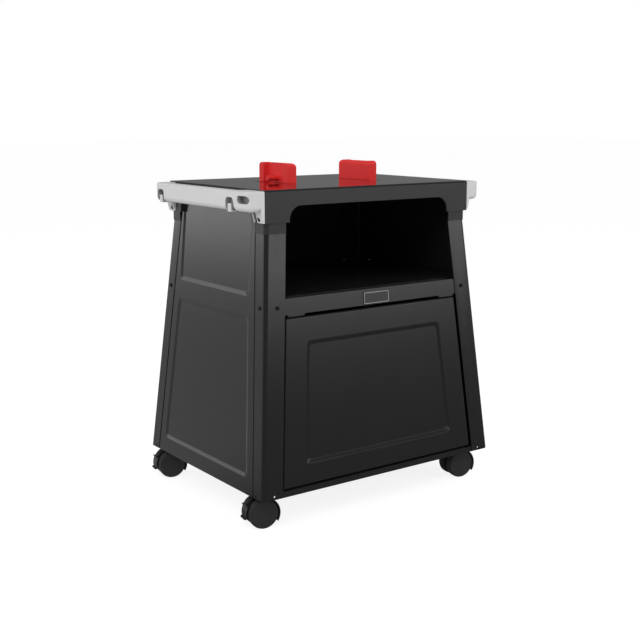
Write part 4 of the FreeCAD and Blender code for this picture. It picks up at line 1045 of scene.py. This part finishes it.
def stage_material():
    """A pale floor that shows white to the camera, keeps the cart's shadow and mirrors dimly."""
    stage = Finish("pale_floor", roughness=0.9, specular_ior_level=0.1, emission_strength=1.0)
    seen = stage.node("ShaderNodeLightPath", output="Is Camera Ray")
    mirrored = stage.node("ShaderNodeLightPath", output="Is Glossy Ray")
    dim = stage.blend(mirrored, grey(0.8), grey(0.0))
    stage.set(base_color=stage.blend(seen, dim, grey(0.25)))
    place = stage.place()
    aim = vector_maths(stage.tree, "NORMALIZE", place)
    left_back = vector_maths(stage.tree, "DOT_PRODUCT", aim, LEFT_BACK, output="Value")
    left = left_back.between(*LEFT_EDGE)
    distance = vector_maths(stage.tree, "LENGTH", place, output="Value")
    glow = stage.blend(left, grey(FLOOR_AHEAD), grey(FLOOR_LEFT))
    glow = stage.blend(left * distance.between(*FAR_EDGE), glow, grey(FLOOR_FAR_LEFT))
    glow = stage.blend(1.0 - mirrored, glow, grey(0.0))
    stage.set(emission_color=stage.blend(seen, glow, grey(0.86)))
    return stage.material


class CART_OT_stage(bpy.types.Operator):
    """Add the camera, the pale floor, the sky and the soft lamps"""

    bl_idname = "cart.stage"
    bl_label = "Stage"

    def execute(self, context):
        scene = context.scene
        scene.view_settings.view_transform = "Standard"
        self.add_camera(scene)
        self.add_floor()
        self.make_sky(scene)
        for lamp in LAMPS:
            self.add_lamp(*lamp)
        return {"FINISHED"}

    def add_camera(self, scene):
        """The camera that the photograph was taken with."""
        camera = bpy.data.cameras.new("photo_camera")
        camera.lens = CAMERA_LENS
        camera.sensor_width = CAMERA_SENSOR
        camera.clip_end = 100.0
        holder = add_object("photo_camera", camera)
        x, y, z = CAMERA_PLACE
        holder.location = ((x + MIDDLE_X) * MM, y * MM, z * MM)
        tilt, heading = math.radians(90 - CAMERA_TILT), math.radians(CAMERA_HEADING)
        holder.rotation_euler = (tilt, 0.0, heading)
        scene.camera = holder

    def add_floor(self):
        """The floor that the cart stands on."""
        mesh = bpy.data.meshes.new("floor")
        across = rectangle(-FLOOR_REACH, FLOOR_REACH, -FLOOR_REACH, FLOOR_REACH)
        mesh.from_pydata([(corner.x, corner.y, 0.0) for corner in across], [], [(0, 1, 2, 3)])
        mesh.materials.append(stage_material())
        add_object("floor", mesh)

    def add_lamp(self, name, place, height, size, power):
        """A soft lamp that points at a height over the origin and that no mirror shows."""
        lamp = bpy.data.lights.new(name, "AREA")
        lamp.shape = "RECTANGLE"
        lamp.size, lamp.size_y = size
        lamp.energy = power
        holder = add_object(name, lamp)
        holder.location = place
        along = Vector((0, 0, height)) - Vector(place)
        holder.rotation_euler = along.to_track_quat("-Z", "Y").to_euler()
        holder.visible_glossy = False

    def make_sky(self, scene):
        """A sky that is white to the camera, plain for light, with softboxes for mirrors."""
        world = bpy.data.worlds.new("pale_sky")
        scene.world = world
        world.use_nodes = True
        tree = world.node_tree
        seen = add_node(tree, "ShaderNodeLightPath", output="Is Camera Ray")
        mirrored = add_node(tree, "ShaderNodeLightPath", output="Is Glossy Ray")
        ray = add_node(tree, "ShaderNodeTexCoord", output="Generated")
        glow = MIRRORED_SKY
        for aim, flatness, low, high, strength in SOFTBOXES:
            flat = Vector((1.0, 1.0, flatness))
            unit = vector_maths(tree, "NORMALIZE", vector_maths(tree, "MULTIPLY", ray, flat))
            centre = (Vector(aim) * flat).normalized()
            near = vector_maths(tree, "DOT_PRODUCT", unit, centre, output="Value")
            glow = near.between(low, high) * strength + glow
        back = tree.nodes["Background"]
        back.inputs["Color"].default_value = grey(1.0)
        unseen = mirrored * (glow - PLAIN_SKY) + PLAIN_SKY
        feed(tree, back.inputs["Strength"], seen * (1.0 - unseen) + unseen)


class CART_PT_sidebar(bpy.types.Panel):
    """Lists the cart's pieces and settings"""

    bl_idname = "CART_PT_sidebar"
    bl_label = "Grill Cart"
    bl_space_type = "VIEW_3D"
    bl_region_type = "UI"
    bl_category = "Grill Cart"

    def draw(self, context):
        column = self.layout.column()
        for group in (context.scene.cart_finishes, context.scene.cart_sizes):
            for name in group.__annotations__:
                column.prop(group, name)
        for operator in OPERATORS:
            column.operator(operator.bl_idname)


OPERATORS = (
    CART_OT_stage,
    CART_OT_top,
    CART_OT_steel_structure,
    CART_OT_sheet_panels,
    CART_OT_door,
    CART_OT_handles,
    CART_OT_locks,
    CART_OT_casters,
    CART_OT_badge,
    CART_OT_screws,
)
CLASSES = (CartFinishes, CartSizes, *OPERATORS, CART_PT_sidebar)


def register():
    """Register the settings, operators and panel."""
    for item in CLASSES:
        bpy.utils.register_class(item)
    bpy.types.Scene.cart_finishes = PointerProperty(type=CartFinishes)
    bpy.types.Scene.cart_sizes = PointerProperty(type=CartSizes)


def unregister():
    """Take the settings, operators and panel away again."""
    del bpy.types.Scene.cart_sizes
    del bpy.types.Scene.cart_finishes
    for item in reversed(CLASSES):
        bpy.utils.unregister_class(item)


def main():
    """Register the settings and operators, then build every piece."""
    register()
    for operator in OPERATORS:
        group, name = operator.bl_idname.split(".")
        getattr(getattr(bpy.ops, group), name)()


if __name__ == "__main__":
    main()
